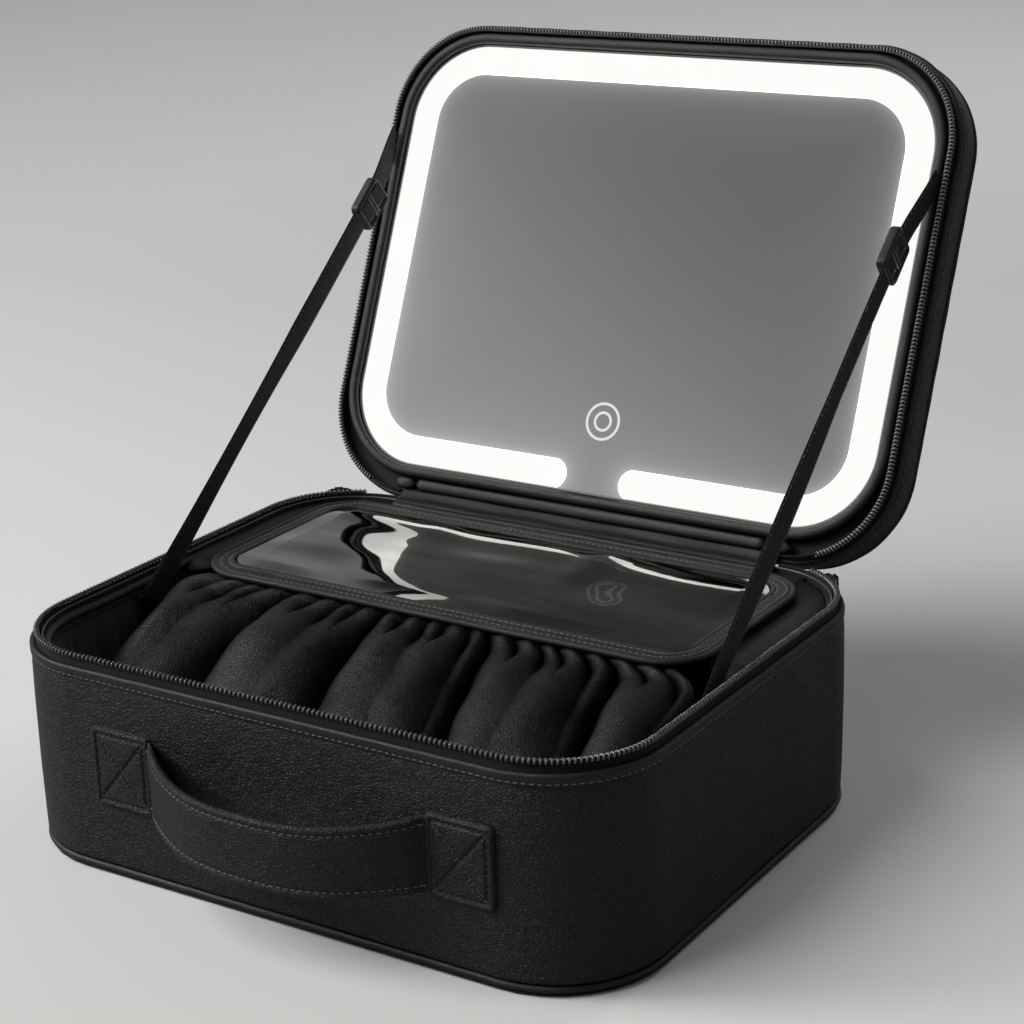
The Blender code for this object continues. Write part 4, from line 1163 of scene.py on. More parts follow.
# leather strip that carries the flap at the rear: y, z
HINGE_STRIP = np.array([
    (96.0, 80.1), (94.0, 80.35), (91.5, 80.4), (89.6, 80.5), (88.2, 80.75), (86.9, 80.9),
    (86.9, 80.3), (88.2, 80.0), (89.6, 79.8), (91.5, 79.7), (94.0, 79.6), (96.0, 79.5)])
low, high = box_mm("flap_hinge_tape")
x = np.linspace(low[0] - 8, high[0] + 8, 60)
y, z = HINGE_STRIP.T
strip = loft("flap_hinge_leather",
             across(x, y, z + 0.10 * np.sin(x[:, None] / 9.0) * ((84 < y) & (y < 93))),
             FLAP_LEATHER, replaces="flap_hinge_tape")
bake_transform(strip)


# ============================ rear shelf ========================================
def rear_half():
    """The part of the case outline behind y = 0, in running order."""
    path = Path(HALF_X, -HALF_Y, HALF_Y, CORNER, step=2.0, arc_step=1.6)
    keep = path.points[:, 1] >= 0.0
    start = int(np.argmax(keep & ~np.roll(keep, 1)))
    order = np.roll(np.arange(path.count), -start)
    order = order[keep[order]]
    path.points, path.normals = path.points[order], path.normals[order]
    path.closed = False
    path.measure()
    return path


# soft leather down both sides and across the rear: inward offset, height
SHELF = np.array([
    (6.2, 79.3), (8.2, 80.0), (10.5, 80.35), (13.0, 80.3), (15.5, 79.9), (18.0, 79.5),
    (20.5, 79.2), (21.5, 78.9), (21.5, 78.5), (20.0, 78.3), (14.0, 78.4), (8.0, 78.6),
    (6.2, 78.8)])
rear = rear_half()
offset, height = SHELF.T
wobble = 0.22 * waves(rear.points[:, :1] / 17 + offset / 9, rear.points[:, 1:] / 17, 41, 4)
# both ends narrow towards one offset and sink
taper = np.clip(np.minimum(rear.run, rear.length - rear.run) / 6.0, 0, 1)[:, None]
END_OFFSET = 8.5
face_out(sweep("rear_shelf_leather", rear,
               END_OFFSET + (offset - END_OFFSET) * (0.12 + 0.88 * np.sqrt(taper)),
               height + wobble * (height > 79.1) - 3.0 * (1 - taper), SHELF_LEATHER, "base"))
offset, height = circle(20.9, 79.1, 0.7, 10)
sweep("rear_shelf_bead", rear, offset - 9.0 * (1 - taper) ** 2, height - 3.2 * (1 - taper),
      SHELF_LEATHER, "base")

# ============================ gathered skirt ====================================
# crest line from the flap to the front wall: y, z, half width
SKIRT_CREST = np.array([
    (-8.0, 80.7, 104.5), (-10.4, 80.5, 108.0), (-12.6, 79.9, 111.8), (-16.0, 79.3, 114.8),
    (-21.0, 79.0, 116.2), (-28.0, 78.4, 117.0), (-36.0, 76.6, 117.2), (-44.0, 73.7, 117.2),
    (-53.0, 69.6, 117.0), (-62.0, 64.7, 116.6), (-72.0, 58.2, 115.4), (-82.0, 50.2, 112.0),
    (-88.4, 43.0, 108.0)])
# valleys between the big billows: x where they leave the flap, and how far each has
# wandered sideways by the time it reaches the front wall
VALLEY_X = np.array([-104.5, -60.0, -18.0, 28.0, 77.0, 104.5])
VALLEY_DRIFT = np.array([0.0, 0.0, 3.0, 11.0, 6.0, 0.0])
GATHERS = (4, 4, 5, 5, 3)                        # pinches in each billow


def hermite(xs, ys, t):
    """A smooth curve through stations."""
    slope = np.gradient(ys, xs)
    i = np.clip(np.searchsorted(xs, t) - 1, 0, len(xs) - 2)
    h = xs[i + 1] - xs[i]
    u = (t - xs[i]) / h
    return ((2 * u ** 3 - 3 * u ** 2 + 1) * ys[i] + (u ** 3 - 2 * u ** 2 + u) * h * slope[i]
            + (-2 * u ** 3 + 3 * u ** 2) * ys[i + 1] + (u ** 3 - u ** 2) * h * slope[i + 1])


def cell_of(u, cuts):
    """Place within its cell, and the cell's width, of each u among the cuts."""
    j = np.clip(np.searchsorted(cuts, u) - 1, 0, len(cuts) - 2)
    width = cuts[j + 1] - cuts[j]
    return (u - cuts[j]) / width, width


def gathered_skirt():
    columns, rows = ((820, 170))
    side = np.linspace(-1, 1, columns)
    down = np.linspace(0, 1, rows) ** 1.3
    run = np.concatenate([[0], np.cumsum(np.hypot(*np.diff(SKIRT_CREST[:, :2], axis=0).T))])
    at = down * run[-1]
    crest_y, crest_z, half = (hermite(run, SKIRT_CREST[:, k], at) for k in (0, 1, 2))
    # normals of the crest line, turned to point up
    nudge = 0.4
    after, before = np.minimum(at + nudge, run[-1]), np.maximum(at - nudge, 0)
    dy, dz = (hermite(run, SKIRT_CREST[:, k], after) - hermite(run, SKIRT_CREST[:, k], before)
              for k in (0, 1))
    length = np.hypot(dy, dz)
    up_y, up_z = dz / length, -dy / length
    sign = np.where(up_z < 0, -1.0, 1.0)
    up_y, up_z = up_y * sign, up_z * sign

    rng = np.random.default_rng(41)
    cuts = [np.sort((np.arange(1, k) + rng.uniform(-0.24, 0.24, k - 1)) / k) for k in GATHERS]
    cuts = [np.concatenate([[0], c, [1]]) for c in cuts]
    lean = rng.uniform(-0.10, 0.10, (5, 8))
    phase = rng.uniform(0, 6.28, 5)
    size = rng.uniform(0.85, 1.15, 5)
    lift, shade = np.zeros((columns, rows)), np.zeros((columns, rows))
    for k, t in enumerate(down):
        valley = VALLEY_X * half[k] / half[0] + VALLEY_DRIFT * smoothstep(t, 0.02, 0.72)
        valley[0], valley[-1] = -half[k] - 2, half[k] + 2
        valley[1:-1] += 1.8 * np.sin(6.0 * t + phase[:4]) * t
        x = side * half[k]
        billow = np.clip(np.searchsorted(valley, x) - 1, 0, 4)
        u = np.clip((x - valley[billow]) / (valley[billow + 1] - valley[billow]), 0, 1)
        turn = phase[billow]
        # big billow: rises steeply out of its valley, then rolls over and sinks slowly
        skew = 0.60 + 0.05 * np.sin(turn + 4 * t)
        big = 1 - np.abs(2 * u ** skew - 1) ** (2.5 - 0.4 * t)
        small, soft = np.zeros(columns), np.zeros(columns)
        for q in range(5):
            chosen = billow == q
            pinch = cuts[q].copy()
            pinch[1:-1] = pinch[1:-1] + lean[q, :len(pinch) - 2] * t
            # the pinch is a dart: open at the seam, closing to a line
            place, width = cell_of(u[chosen], pinch)
            small[chosen] = (np.abs(np.sin(PI * place))
                             ** (0.95 - 0.6 * smoothstep(t, 0.02, 0.16))
                             * np.clip(width * len(pinch), 0.8, 1.15))
            # every second pinch carries on as a soft fold
            fold = pinch[::2] if len(pinch) % 2 else np.concatenate([pinch[:-1:2], [1]])
            place, _ = cell_of(u[chosen], fold)
            soft[chosen] = np.sin(PI * place ** 0.85) ** 1.2
        # depths of billows, folds and pinches at this row
        big_deep = 9.8 * smoothstep(t, 0.03, 0.32) * (1 - 0.25 * smoothstep(t, 0.7, 1.0))
        soft_deep = 2.6 * smoothstep(t, 0.03, 0.12) * (1 - 0.62 * smoothstep(t, 0.16, 0.55))
        small_deep = ((1.5 + 1.3 * smoothstep(t, 0.0, 0.05))
                      * (1 - smoothstep(t, 0.06, 0.23)))
        roll = big ** (0.35 + 1.15 * smoothstep(t, 0.02, 0.35))
        # painted shade: darker in the billows' valleys, in the folds and pinches, and just under
        # the flap's binding
        shade[:, k] = (roll * (1 - 0.75 * (1 - soft) * soft_deep / 3.0)
                       * (1 - 0.95 * (1 - small) * min(small_deep / 2.2, 1))
                       * (0.7 + 0.3 * smoothstep(t, 0.0, 0.05)))
        lift[:, k] = (-big_deep * size[billow] * (1 - big) - soft_deep * (1 - soft)
                      - small_deep * (1 - small))
        # drag folds and slump, each billow its own
        lift[:, k] += (
            0.8 * np.sin(7.5 * t + turn + 2.6 * u) * smoothstep(t, 0.2, 0.4) * big
            + 0.5 * np.sin(9.0 * u + 11.0 * t + turn * 2) * smoothstep(t, 0.12, 0.35)
            * big ** 0.5 * (1 - 0.5 * smoothstep(t, 0.7, 1.0))
            - 1.6 * groove(u - 0.62 - 0.10 * np.sin(5 * t + turn), 0.10)
            * smoothstep(t, 0.50, 0.80))
    side, t = side[:, None], down[None]
    lift = lift + 0.30 * waves(side * 12, t * 7, 31, 4) * smoothstep(t, 0.03, 0.2)
    X = side * half + 0.5 * np.sin(t * 17 + side * 25) * smoothstep(t, 0.1, 0.4)
    Y = crest_y + up_y * lift
    # the sides sink, the left much more than the right
    ends = np.where(side < 0, 12.0 * np.clip((-side - 0.86) / 0.14, 0, 1) ** 1.6,
                    2.5 * np.clip((side - 0.93) / 0.07, 0, 1) ** 2)
    Z = crest_z + up_z * lift - ends * smoothstep(t, 0.02, 0.35)
    thick = 0.9
    points = np.stack([np.stack([X, Y, Z], -1),
                       np.stack([X, Y - up_y * thick, Z - up_z * thick], -1)])
    faces = np.vstack(shell_faces(columns, rows))
    # u carries the painted shade to the skirt leather; the underside gets a fixed painted shade
    shade = np.concatenate([shade.reshape(-1), np.full(columns * rows, 0.3)])
    uv = np.stack([np.clip(shade, 0.02, 1.0)[faces.reshape(-1)], np.zeros(faces.size)], -1)
    face_out(make("skirt_gathered_leather", points.reshape(-1, 3), faces, SKIRT_LEATHER, "flap",
                  uv=uv, replaces="gathered_skirt"))


gathered_skirt()

# ============================ hinge ==============================================
# rear fold of leather that joins base and lid: y, z of its middle line
FOLD = np.array([(95.6, 79.2), (96.6, 80.9), (98.2, 81.9), (99.8, 81.6), (101.0, 82.3),
                 (102.4, 83.0), (103.4, 84.2), (104.6, 84.7)])
FOLD_HALF_THICK = 0.55
along = np.gradient(FOLD, axis=0)
along /= np.linalg.norm(along, axis=1)[:, None]
shift = np.column_stack([-along[:, 1], along[:, 0]]) * FOLD_HALF_THICK
y, z = np.vstack([FOLD + shift, (FOLD - shift)[::-1]]).T
x = np.linspace(-88, 88, 90)
fold = loft("hinge_fold_leather", across(x, y, z + 0.12 * np.sin(x[:, None] / 7.0 + y)),
            FLAP_LEATHER, replaces="hinge_gusset")
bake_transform(fold)


def padded_roll(name, x_span, y_span, z_span, body, replaces=None):
    """A padded roll along X with tucked ends."""
    centre_y, half_y = sum(y_span) / 2, (y_span[1] - y_span[0]) / 2
    centre_z, half_z = sum(z_span) / 2, (z_span[1] - z_span[0]) / 2
    x = np.linspace(*x_span, int((x_span[1] - x_span[0]) / 2.0))
    end = np.clip(np.minimum(x - x_span[0], x_span[1] - x) / 1.8, 0, 1)
    tuck = np.sqrt(np.clip(1 - (1 - end) ** 2, 0.02, 1))[:, None]
    angle = np.arange(20) * 2 * PI / 20
    wobble = 0.12 * waves(x / 11, 0.0, 17)[:, None]
    loft(name, across(x, centre_y + (half_y + wobble * 0.5) * tuck * squarish(np.cos(angle), 0.75),
                      centre_z + (half_z + wobble) * tuck * squarish(np.sin(angle), 0.75)),
         ROLL_LEATHER, body, replaces=replaces)


ROLL_HALF, TAB_GAP, TAB_END = 82.0, 0.3, 93.0
padded_roll("lid_hinge_roll", (-ROLL_HALF, ROLL_HALF), (92.2, 97.0), (85.7, 89.6), "lid",
            "lid_hinge_rib")
padded_roll("lid_hinge_tab_left", (-TAB_END, -ROLL_HALF - TAB_GAP), (92.3, 97.0), (85.9, 89.2),
            "lid")
padded_roll("lid_hinge_tab_right", (ROLL_HALF + TAB_GAP, TAB_END), (92.3, 97.0), (85.9, 89.2),
            "lid")
padded_roll("base_hinge_roll", (-88.0, 88.0), (92.6, 96.6), (79.4, 82.0), "base")

# ============================ lid shell ==========================================
LID_SEAM_Z = 94.6
wall_leather("lid_wall_leather", LID, 92.5, 104.1, rim=1.0, rows=14, inner_rows=4,
             relief=lambda run, height: (loop_waves(LID, 9, 6, height / 20) * 0.10
                                         + 0.3 * groove(height - LID_SEAM_Z, 0.8)),
             body="lid", replaces="lid_wall")
stitches("lid_wall_stitches", [stitch_run(LID, 0.62, LID_SEAM_Z, 3.0)], THREAD, "lid",
         length=2.1, radius=0.19)
piping("lid_piping_bead", LID, lid_height(PIPE_Z), "lid", "lid_piping")
piping("lid_back_piping_bead", LID, 105.7, "lid", "lid_back_piping")


def back_puff(x, y, depth):
    """Padding with a sewn groove round its border."""
    return (0.9 * (1 - np.exp(-depth / 9.0)) - 0.55 * groove(depth - 5.5, 0.8)
            + 0.10 * waves(x / 40, y / 40, 14, 4))


BACK_IN = 0.8
slab("lid_back_leather", HALF_X - BACK_IN, LID_FRONT + BACK_IN, LID_REAR - BACK_IN,
     CORNER - BACK_IN, 107.2, 108.4, LEATHER, "lid", nx=120, ny=90, top=back_puff, edge=0.6,
     replaces="lid_back_panel")
stitches("lid_back_stitches", [stitch_run(LID, 6.3, 108.75, 3.0, "up")], THREAD, "lid",
         length=2.1, radius=0.2)

# padded bezel between the light band and the zip, with its fine inner bead
angle = np.linspace(0, 2 * PI, 22, endpoint=False)
wobble = 0.10 * waves(BAND.points[:, :1] / 13, BAND.points[:, 1:] / 13, 15)
sweep("bezel_padded_roll", BAND, -3.15 + 2.25 * squarish(np.cos(angle), 0.85) + wobble * 0.4,
      87.2 - 2.1 * squarish(np.sin(angle), 0.9) + wobble * 0.8, ROLL_LEATHER, "lid",
      replaces="mirror_bezel")
BEZEL_BEAD = nylon("bezel_bead_grey", base=(0.10, 0.10, 0.098), rough=0.4, spec=0.5)
sweep("bezel_inner_bead", BAND, *circle(-0.35, 88.35, 0.55, 12), BEZEL_BEAD, "lid",
      "tray_plastic")
# soft panel behind the bezel
sweep("lid_inner_facing", LID, *rounded_box(2.7, 9.2, 90.2, 91.4, 0.5, arc=3), LINING, "lid",
      "lining_cloth")


# ---- light band and mirror ------------------------------------------------------
def band_loop(offset):
    """The open outline from the rear left corner round the front to the rear right."""
    radius = max(LED_R - offset, 4.0)
    path = Path(LED_HALF_X - offset, LED_FRONT + offset, LED_REAR - offset, radius, step=6.0,
                arc_step=radius * PI / 2 / 28, opened=True)
    return [tuple(p) for p in path.points]


def arc(x, y, radius, start, end, count=24):
    return [(x + radius * math.cos(math.radians(start + (end - start) * i / count)),
             y + radius * math.sin(math.radians(start + (end - start) * i / count)))
            for i in range(count + 1)]


def glass_plate(name, outline, material, replaces, bevel=0.25):
    """A flat outline with a softened lower rim, its faces filled by triangles."""
    clean = [outline[0]]
    for p in outline[1:]:
        if math.hypot(p[0] - clean[-1][0], p[1] - clean[-1][1]) > 1e-3:
            clean.append(p)
    if math.hypot(clean[0][0] - clean[-1][0], clean[0][1] - clean[-1][1]) < 1e-3:
        clean.pop()
    P = np.array(clean)
    if np.sum(P[:, 0] * np.roll(P[:, 1], -1) - np.roll(P[:, 0], -1) * P[:, 1]) < 0:
        P = P[::-1]
    along = np.roll(P, -1, 0) - np.roll(P, 1, 0)
    along /= np.linalg.norm(along, axis=1)[:, None]
    shrunk = P - np.column_stack([along[:, 1], -along[:, 0]]) * bevel
    n = len(P)
    points = np.vstack([np.column_stack([xy, np.full(n, z)]) for xy, z in (
        (shrunk, GLASS_Z), (P, GLASS_Z + bevel), (P, GLASS_Z + GLASS_THICK))])
    faces = [[k * n + i, k * n + (i + 1) % n, (k + 1) * n + (i + 1) % n, (k + 1) * n + i]
             for k in range(2) for i in range(n)]
    for xy, base in ((shrunk, 0), (P, 2 * n)):
        triangles = tessellate_polygon([[Vector((x, y, 0)) for x, y in xy]])
        faces += [[base + k for k in triangle] for triangle in triangles]
    uv = [(points[i, 0], points[i, 1]) for face in faces for i in face]
    recalculate_normals(make(name, points, faces, material, "lid", uv, replaces,
                             smooth=False))


band_outer, band_inner = LED_REAR, LED_REAR - LED_BAND
end_r, end_y = (band_outer - band_inner) / 2, (band_outer + band_inner) / 2
end_x = LED_GAP + end_r
glass_plate("light_band_diffuser",
            band_loop(0.0) + arc(end_x, end_y, end_r, 90, 270) + band_loop(LED_BAND)[::-1]
            + arc(-end_x, end_y, end_r, -90, 90),
            LIGHT, "light_diffuser")
JOINT = 0.12                                  # clearance between band and mirror
glass_plate("mirror_silvered",
            band_loop(LED_BAND + JOINT) + arc(end_x, end_y, end_r + JOINT, 268, 92)
            + arc(-end_x, end_y, end_r + JOINT, 88, -88),
            MIRROR, "mirror_glass")
TOUCH_Y = HINGE_Y - 42.8
rings = [np.column_stack([*circle(0, TOUCH_Y, radius, 72), np.full(72, GLASS_Z - 0.03)])
         for radius in (7.3, 3.6)]
tubes("touch_icon_rings", rings, 0.55, ICON, "lid", closed=True)

# ============================ straps and buckles ==================================
TILT = LID_ANGLE - PI / 2
LID_UP = np.array((0, math.sin(TILT), math.cos(TILT)))
LID_FACING = np.array((0, -math.cos(TILT), math.sin(TILT)))
STRAP_TOP = np.array((0, HINGE_Y, HINGE_Z)) + LID_UP * 151.0 - LID_FACING * 0.5
STRAP_FOOT = np.array((0, -21.5, 72.0))
STRAP_LENGTH = float(np.linalg.norm(STRAP_FOOT - STRAP_TOP))
STRAP_DOWN = (STRAP_FOOT - STRAP_TOP) / STRAP_LENGTH
STRAP_ACROSS = np.array((0, STRAP_DOWN[2], -STRAP_DOWN[1]))
STRAP_HALF = 5.1
STRAP_FOOT_X, STRAP_MID_X = 120.9, 120.1
BUCKLE_AT = 37.0                              # down the strap from its top
BUCKLE_X = 119.6


def buckle_shape():
    """Rounded frame with a raised border on both faces, and two pairs of bars."""
    points, faces = [], []

    def add_part(part, part_faces):
        base = sum(map(len, points))
        faces.extend([[base + k for k in face] for face in part_faces])
        points.append(part)

    half_x, half_y, border = 7.4, 9.6, 1.15
    outline = Path(half_x, -half_y, half_y, 2.8, step=0.8, arc_step=0.35)
    for offset, z in (rounded_box(0.0, 2 * border, -2.0, 2.0, 0.8),
                      circle(border, 2.0, 0.42, 10), circle(border, -2.0, 0.42, 10)):
        # inner corners stay tidy where the offset passes the corner radius
        limit = np.array((half_x, half_y)) - offset[:, None]
        xy = np.clip(outline.inset(offset), -limit, limit)
        z = np.broadcast_to(z, xy.shape[:2])[..., None]
        add_part(np.concatenate([xy, z], -1).reshape(-1, 3),
                 grid_faces(outline.count, len(offset), True, True)[0].tolist())
    sections, sides = 8, 16
    angle = np.arange(sides) * 2 * PI / sides
    x = np.linspace(-5.6, 5.6, sections)
    for bar_z, radius_z in ((1.62, 0.55), (-1.3, 0.75)):
        for bar_y in (0.95, -0.95):
            bar = across(x, bar_y + 0.8 * squarish(np.cos(angle), 0.6),
                         bar_z + radius_z * squarish(np.sin(angle), 0.6))
            caps = [list(range(sides))[::-1],
                    [(sections - 1) * sides + k for k in range(sides)]]
            add_part(bar.reshape(-1, 3),
                     grid_faces(sections, sides, False, True)[0].tolist() + caps)
    return np.vstack(points), faces


def loop_shape():
    """Short webbing that passes over the middle of the buckle and dips either side."""
    y = np.linspace(-8.6, 8.6, 44)
    z = (-1.30 + 0.85 * np.exp(-(y / 1.5) ** 4)
         + 0.75 * np.clip((np.abs(y) - 6.6) / 2.0, 0, 1) ** 1.5)
    x = np.linspace(-4.3, 4.3, 10)
    points = np.stack([across(x, y, z - 0.3), across(x, y, z + 0.3)]).reshape(-1, 3)
    return points, np.vstack(shell_faces(len(x), len(y), second_up=True))


def strap(side, sign):
    count, columns = 150, 10
    outward = np.array((float(sign), 0, 0))
    s = np.linspace(-1.5, STRAP_LENGTH + 1.0, count)
    # sideways course: stations down the strap, smoothed, with a slight sway
    course = np.interp(s, (0, BUCKLE_AT - 10, BUCKLE_AT + 12, STRAP_LENGTH),
                       (124.8, 120.4, STRAP_MID_X, STRAP_FOOT_X))
    course = np.convolve(np.pad(course, 4, mode="edge"), np.ones(9) / 9, mode="valid")
    course = course + 0.10 * np.sin(s / 19.0)
    # flat where the buckle slides, twisting below it
    twist = 0.16 * np.sin(s / 37.0 + 0.4) * np.clip((s - 92.0) / 26.0, 0, 1)

    def strap_frame(at):
        """Centres, width directions and face directions down the strap."""
        turn = np.interp(at, s, twist)[:, None]
        centre = (STRAP_TOP + STRAP_DOWN * at[:, None]
                  + outward * np.interp(at, s, course)[:, None])
        return (centre, STRAP_ACROSS * np.cos(turn) + outward * np.sin(turn),
                outward * np.cos(turn) - STRAP_ACROSS * np.sin(turn))

    b = np.linspace(-1, 1, columns)
    rise = (0.40 * np.sqrt(np.clip(1 - np.abs(b) ** 8, 0.05, 1))
            - 0.05 * groove(np.abs(b) - 0.8, 0.06))
    centre, width, face = (part[:, None] for part in strap_frame(s))
    wide = width * (STRAP_HALF * b)[:, None]
    front = centre + wide + face * rise[:, None]
    back = (centre + wide - face * rise[:, None])[:, ::-1]
    _, I, J = grid_faces(count, 2 * columns, False, True)
    around = np.concatenate([b * STRAP_HALF, b * STRAP_HALF + 10.4, [15.5]])
    uv = corner_uv(s[I], s[I + 1], around[J], around[J + 1]).reshape(-1, 2)
    uv = np.vstack([uv, np.zeros((4 * columns, 2))])
    webbing = loft("strap_%s_webbing" % side, np.concatenate([front, back], 1), WEBBING, uv=uv,
                   replaces="strap_" + side)
    # thread along both edges, on both faces
    at = np.arange(4.0, STRAP_LENGTH - 2, 2.6)
    centre, width, face = strap_frame(at)
    runs = [(centre + width * edge + face * (0.36 * way), np.tile(STRAP_DOWN, (len(at), 1)),
             face * way) for edge in (-4.2, 4.2) for way in (-1, 1)]
    edging = stitches("strap_%s_edge_thread" % side, runs, DARK_THREAD, None, length=1.8,
                      radius=0.13, sink=0.02)
    for ob in (webbing, edging):
        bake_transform(ob)
    return webbing, edging


def buckle(side, sign):
    """Tri-glide buckle and the webbing through it, both set on the strap."""
    outward = np.array((float(sign), 0, 0))
    centre = STRAP_TOP + STRAP_DOWN * BUCKLE_AT + outward * BUCKLE_X
    axes = np.array((STRAP_ACROSS * sign, STRAP_DOWN, outward))
    points, faces = buckle_shape()
    glide = make("buckle_%s_triglide" % side, centre + points @ axes, faces, BUCKLE,
                 side + "_buckle", replaces="buckle_" + side)
    recalculate_normals(glide)
    glide.data.shade_smooth()
    points, faces = loop_shape()
    uv = points[faces.reshape(-1)][:, [1, 0]]
    loop = make("buckle_%s_webbing_loop" % side, centre + points @ axes, faces, WEBBING,
                side + "_buckle", uv=uv)
    return glide, face_out(loop)


SIDES = (("left", -1), ("right", 1))
for side, sign in SIDES:
    for ob in (*strap(side, sign), *buckle(side, sign)):
        ob.visible_glossy = False

for place in ("base_left", "base_right", "lid_left", "lid_right"):
    dress("strap_tab_" + place, leather("tab_leather_" + place, grain=0.7, depth=0.03))


# ============================ zip sliders and pulls ================================
def zip_slider(side, sign):
    """A slider body curved round the rear corner, with its wire bail."""
    corner = np.array((sign * (HALF_X - CORNER), HALF_Y - CORNER, 0))
    middle, spread, centre_z, sections = 50, 8, 81.7, 25

    def direction(degrees):
        angle = math.radians(degrees)
        return np.array((math.cos(angle) * sign, math.sin(angle), 0))

    rows = []
    for i in range(sections):
        end = abs(i / 12.0 - 1)
        out = direction(middle - spread + 2 * spread * i / (sections - 1))
        half = 2.1 * math.sqrt(max(1 - end ** 4, 0.04))
        reach, height = rounded_box(CORNER - 1.4, CORNER - 0.1 - 0.35 * end ** 4,
                                    centre_z - half, centre_z + half, min(0.5, half * 0.6))
        rows.append(corner + out * reach[:, None] + np.array((0, 0, 1)) * height[:, None])
    loft("zip_slider_%s_body" % side, np.array(rows), METAL, side + "_slider",
         replaces="zip_slider_" + side)
    out = direction(middle)
    foot = corner + out * (CORNER - 0.1)
    bail = [foot + out * (1.95 * math.sin(t) - 0.5) + np.array((0, 0, 81.5 + 1.4 * math.cos(t)))
            for t in np.linspace(0, PI, 18)]
    tubes("zip_slider_%s_bail" % side, [bail], 0.5, METAL, side + "_slider",
          sides=10)
    dress("zip_pull_" + side, METAL)
    bevel = NODES["zip_pull_" + side].modifiers.new("soft edge", "BEVEL")
    bevel.width = 0.00012
    bevel.segments = 2
    bevel.limit_method = "ANGLE"
    bevel.angle_limit = math.radians(45)


for side, sign in SIDES:
    zip_slider(side, sign)


# ============================ inner works ===========================================
def board_material():
    """Green solder mask with a brick-like pattern."""
    g = new_graph("board_soldermask")
    co = g.place()
    bricks = g.node("ShaderNodeTexBrick", {"Vector": co, "Scale": 220}).outputs["Fac"]
    tooth = g.noise(co, scale=900)
    return g.principled(Base_Color=g.mix(bricks, (0.012, 0.09, 0.035), (0.02, 0.16, 0.06)),
                        Roughness=0.35, Normal=g.bump(tooth, 0.03))


def strip_material():
    """White strip board with its row of small yellow-capped lamps."""
    g = new_graph("led_strip_board_lamps")
    lamps = g.voronoi(g.place(), 160, "F1", randomness=0.0)
    return g.principled(Base_Color=g.mix(g.ramp(lamps, (0.18, 0.24)), (0.85, 0.65, 0.12),
                                         (0.75, 0.75, 0.72)),
                        Roughness=0.4, Normal=g.bump(lamps, 0.1))


dress("mirror_tray", plain("tray_textured_abs", (0.020, 0.020, 0.021), rough=0.5, scale=1500))
dress("lid_back_board", CARD)
dress("mirror_mount_foam", plain("foam_cells", (0.03, 0.03, 0.03), rough=0.95, scale=1800,
                                 bump=0.25))
dress("control_board", board_material())
dress("led_strip", strip_material())
dress("touch_sensor", plain("sensor_copper", (0.55, 0.33, 0.12), rough=0.35, metallic=0.8,
                            scale=900))
dress("battery_cell", plain("cell_shrink_wrap", (0.10, 0.14, 0.22), rough=0.35, scale=300,
                            bump=0.05))
dress("charge_port", plain("port_steel_drawn", (0.55, 0.55, 0.56), rough=0.28, metallic=1.0,
                           scale=1200))
for node, name, colour in (("battery_lead", "sheath_red", (0.32, 0.012, 0.012)),
                           ("led_lead", "sheath_grey", (0.35, 0.35, 0.35)),
                           ("port_lead", "sheath_black", (0.015, 0.015, 0.015))):
    dress(node, plain(name, colour, rough=0.4, scale=800))

# ============================ stage ==================================================
scene = bpy.context.scene
scene.view_settings.view_transform = "Standard"
scene.view_settings.look = "None"


def floor_material():
    g = new_graph("floor_pale")
    co = g.place()
    mottle = g.noise(co, scale=3.0)
    tooth = g.noise(co, scale=260)
    x, y, _ = g.split(co)
    # painted light falloff: palest in front, painted shade towards the back and, there, to the
    # right
    pale = g.ramp(y, (-0.25, 0.62), to=(0.670, 0.515), smooth=False)
    painted_far_shade = g.mul(g.ramp(x, (-0.9, 0.0), to=(0.0, 0.085), smooth=False),
                 g.ramp(y, (0.3, 0.9), smooth=False))
    pale = g.mul(g.sub(pale, painted_far_shade),
                 g.ramp(mottle, (0.2, 0.8), to=(0.985, 1.015), smooth=False))
    # painted shade: the floor is darker where it is seen in reflections
    glossy_ray = g.node("ShaderNodeLightPath").outputs["Is Glossy Ray"]
    pale = g.mul(pale, g.ramp(glossy_ray, (0.0, 1.0), to=(1.0, 0.42), smooth=False))
    colour = g.vector("SCALE", {0: (1.0, 0.996, 0.987), "Scale": pale})
    return g.principled(Base_Color=colour, Roughness=0.62, Specular_IOR_Level=0.3,
                        Normal=g.bump(tooth, 0.03))


def link_staged(ob):
    scene.collection.objects.link(ob)


FLOOR_R, FLOOR_Z, FLOOR_SIDES = 9, -0.0002, 96    # metres
floor_paint = floor_material()
floor_mesh = bpy.data.meshes.new("floor")
floor_mesh.from_pydata([(FLOOR_R * math.cos(2 * PI * i / FLOOR_SIDES),
                         FLOOR_R * math.sin(2 * PI * i / FLOOR_SIDES), FLOOR_Z)
                        for i in range(FLOOR_SIDES)], [], [list(range(FLOOR_SIDES))])
floor_mesh.materials.append(floor_paint)
link_staged(bpy.data.objects.new("floor", floor_mesh))


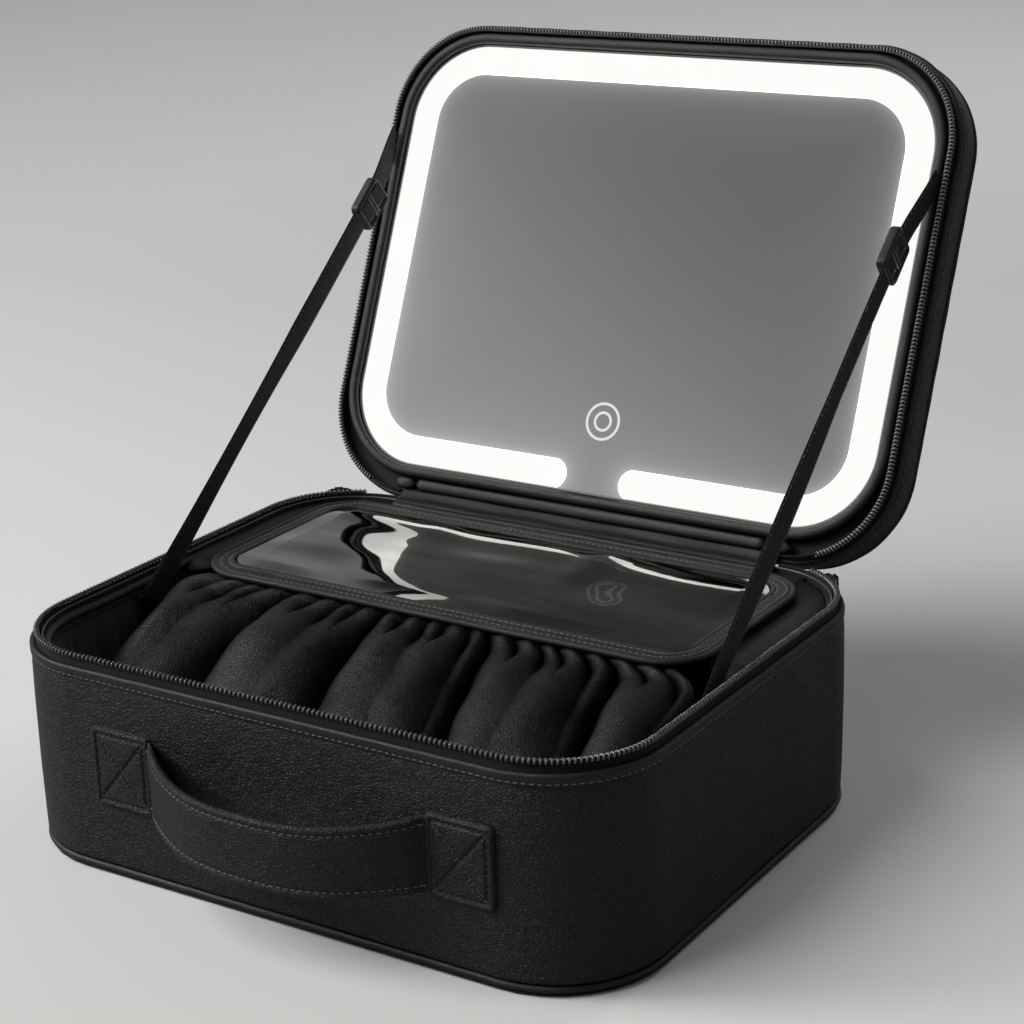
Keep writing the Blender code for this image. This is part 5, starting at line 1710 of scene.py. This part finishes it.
def studio_world():
    """An even grey to the camera; a graded sky to everything else."""
    world = bpy.data.worlds.new("studio")
    scene.world = world
    g = Graph(world, "ShaderNodeOutputWorld")
    _, y, z = g.split(g.node("ShaderNodeTexCoord").outputs["Generated"])
    # dim at the horizon, a soft peak above it, darker overhead, paler behind
    horizon = g.ramp(z, (-0.05, 0.36), to=(0.17, 0.236))
    overhead = g.ramp(z, (0.33, 0.62), to=(0.0, -0.105))
    behind = g.mul(g.ramp(y, (0.35, 0.80), to=(0.0, 0.32)),
                   g.ramp(z, (0.35, 0.6), to=(1.0, 0.0)))
    sky = g.node("ShaderNodeBackground", {"Color": (1.0, 0.995, 0.985),
                                          "Strength": g.add(g.add(horizon, overhead), behind)})
    backdrop = g.node("ShaderNodeBackground", {"Color": (0.50, 0.498, 0.492), "Strength": 1.0})
    camera_ray = g.node("ShaderNodeLightPath").outputs["Is Camera Ray"]
    g.surface(g.node("ShaderNodeMixShader",
                     {0: camera_ray, 1: sky.outputs[0], 2: backdrop.outputs[0]}))


studio_world()


def aim(direction):
    return Vector(direction).to_track_quat("-Z", "Y").to_euler()


def area_light(name, place, target, size, power, colour=(1, 1, 1), glossy=True):
    light = bpy.data.lights.new(name, "AREA")
    light.shape = "RECTANGLE"
    light.size, light.size_y = size
    light.energy = power
    light.color = colour
    ob = bpy.data.objects.new(name, light)
    ob.location = place
    ob.rotation_euler = aim(Vector(target) - Vector(place))
    scene.collection.objects.link(ob)
    ob.visible_glossy = glossy


sun = bpy.data.lights.new("key_sun", "SUN")
sun.energy = 2.15
sun.angle = math.radians(44)
sun.color = (1.0, 0.993, 0.98)
key = bpy.data.objects.new("key_sun", sun)
key.rotation_euler = aim((1.42, 1.22, -2.1))
link_staged(key)
# the key sun does not light the glass or the film
no_key = bpy.data.collections.new("no_key")
for name in ("mirror_silvered", "flap_film"):
    no_key.objects.link(bpy.data.objects[name])
key.light_linking.receiver_collection = no_key
for member in no_key.collection_objects:
    member.light_linking.link_state = "EXCLUDE"
CASE_MIDDLE = (0.0, 0.0, 0.1)
area_light("key_soft", place=(-1.7, -0.9, 1.15), target=CASE_MIDDLE, size=(0.8, 0.7),
           power=26.0, colour=(1.0, 0.99, 0.975))
area_light("fill_front", place=(-0.9, -2.4, 1.15), target=CASE_MIDDLE, size=(1.2, 0.8),
           power=3.0, colour=(0.98, 0.99, 1.0), glossy=False)
area_light("rim_rear", place=(0.35, 2.1, 1.4), target=(0.35, 0.2, 0.0), size=(0.9, 0.9),
           power=14.0, glossy=False)

lens = bpy.data.cameras.new("camera")
camera = bpy.data.objects.new("camera", lens)
scene.collection.objects.link(camera)
CAMERA_RIGHT = Vector((0.843763, 0.535913, -0.029358))
CAMERA_UP = Vector((-0.148101, 0.285053, 0.947001))
CAMERA_BACK = Vector((0.515879, -0.794696, 0.319886))
pose = Matrix((CAMERA_RIGHT, CAMERA_UP, CAMERA_BACK)).transposed().to_4x4()
pose.translation = Vector((0.466704, -0.667513, 0.393170))
camera.matrix_world = pose
lens.sensor_width = 36.0
lens.lens = 82.97
lens.clip_start, lens.clip_end = 0.01, 60.0
scene.camera = camera

bpy.context.view_layer.update()
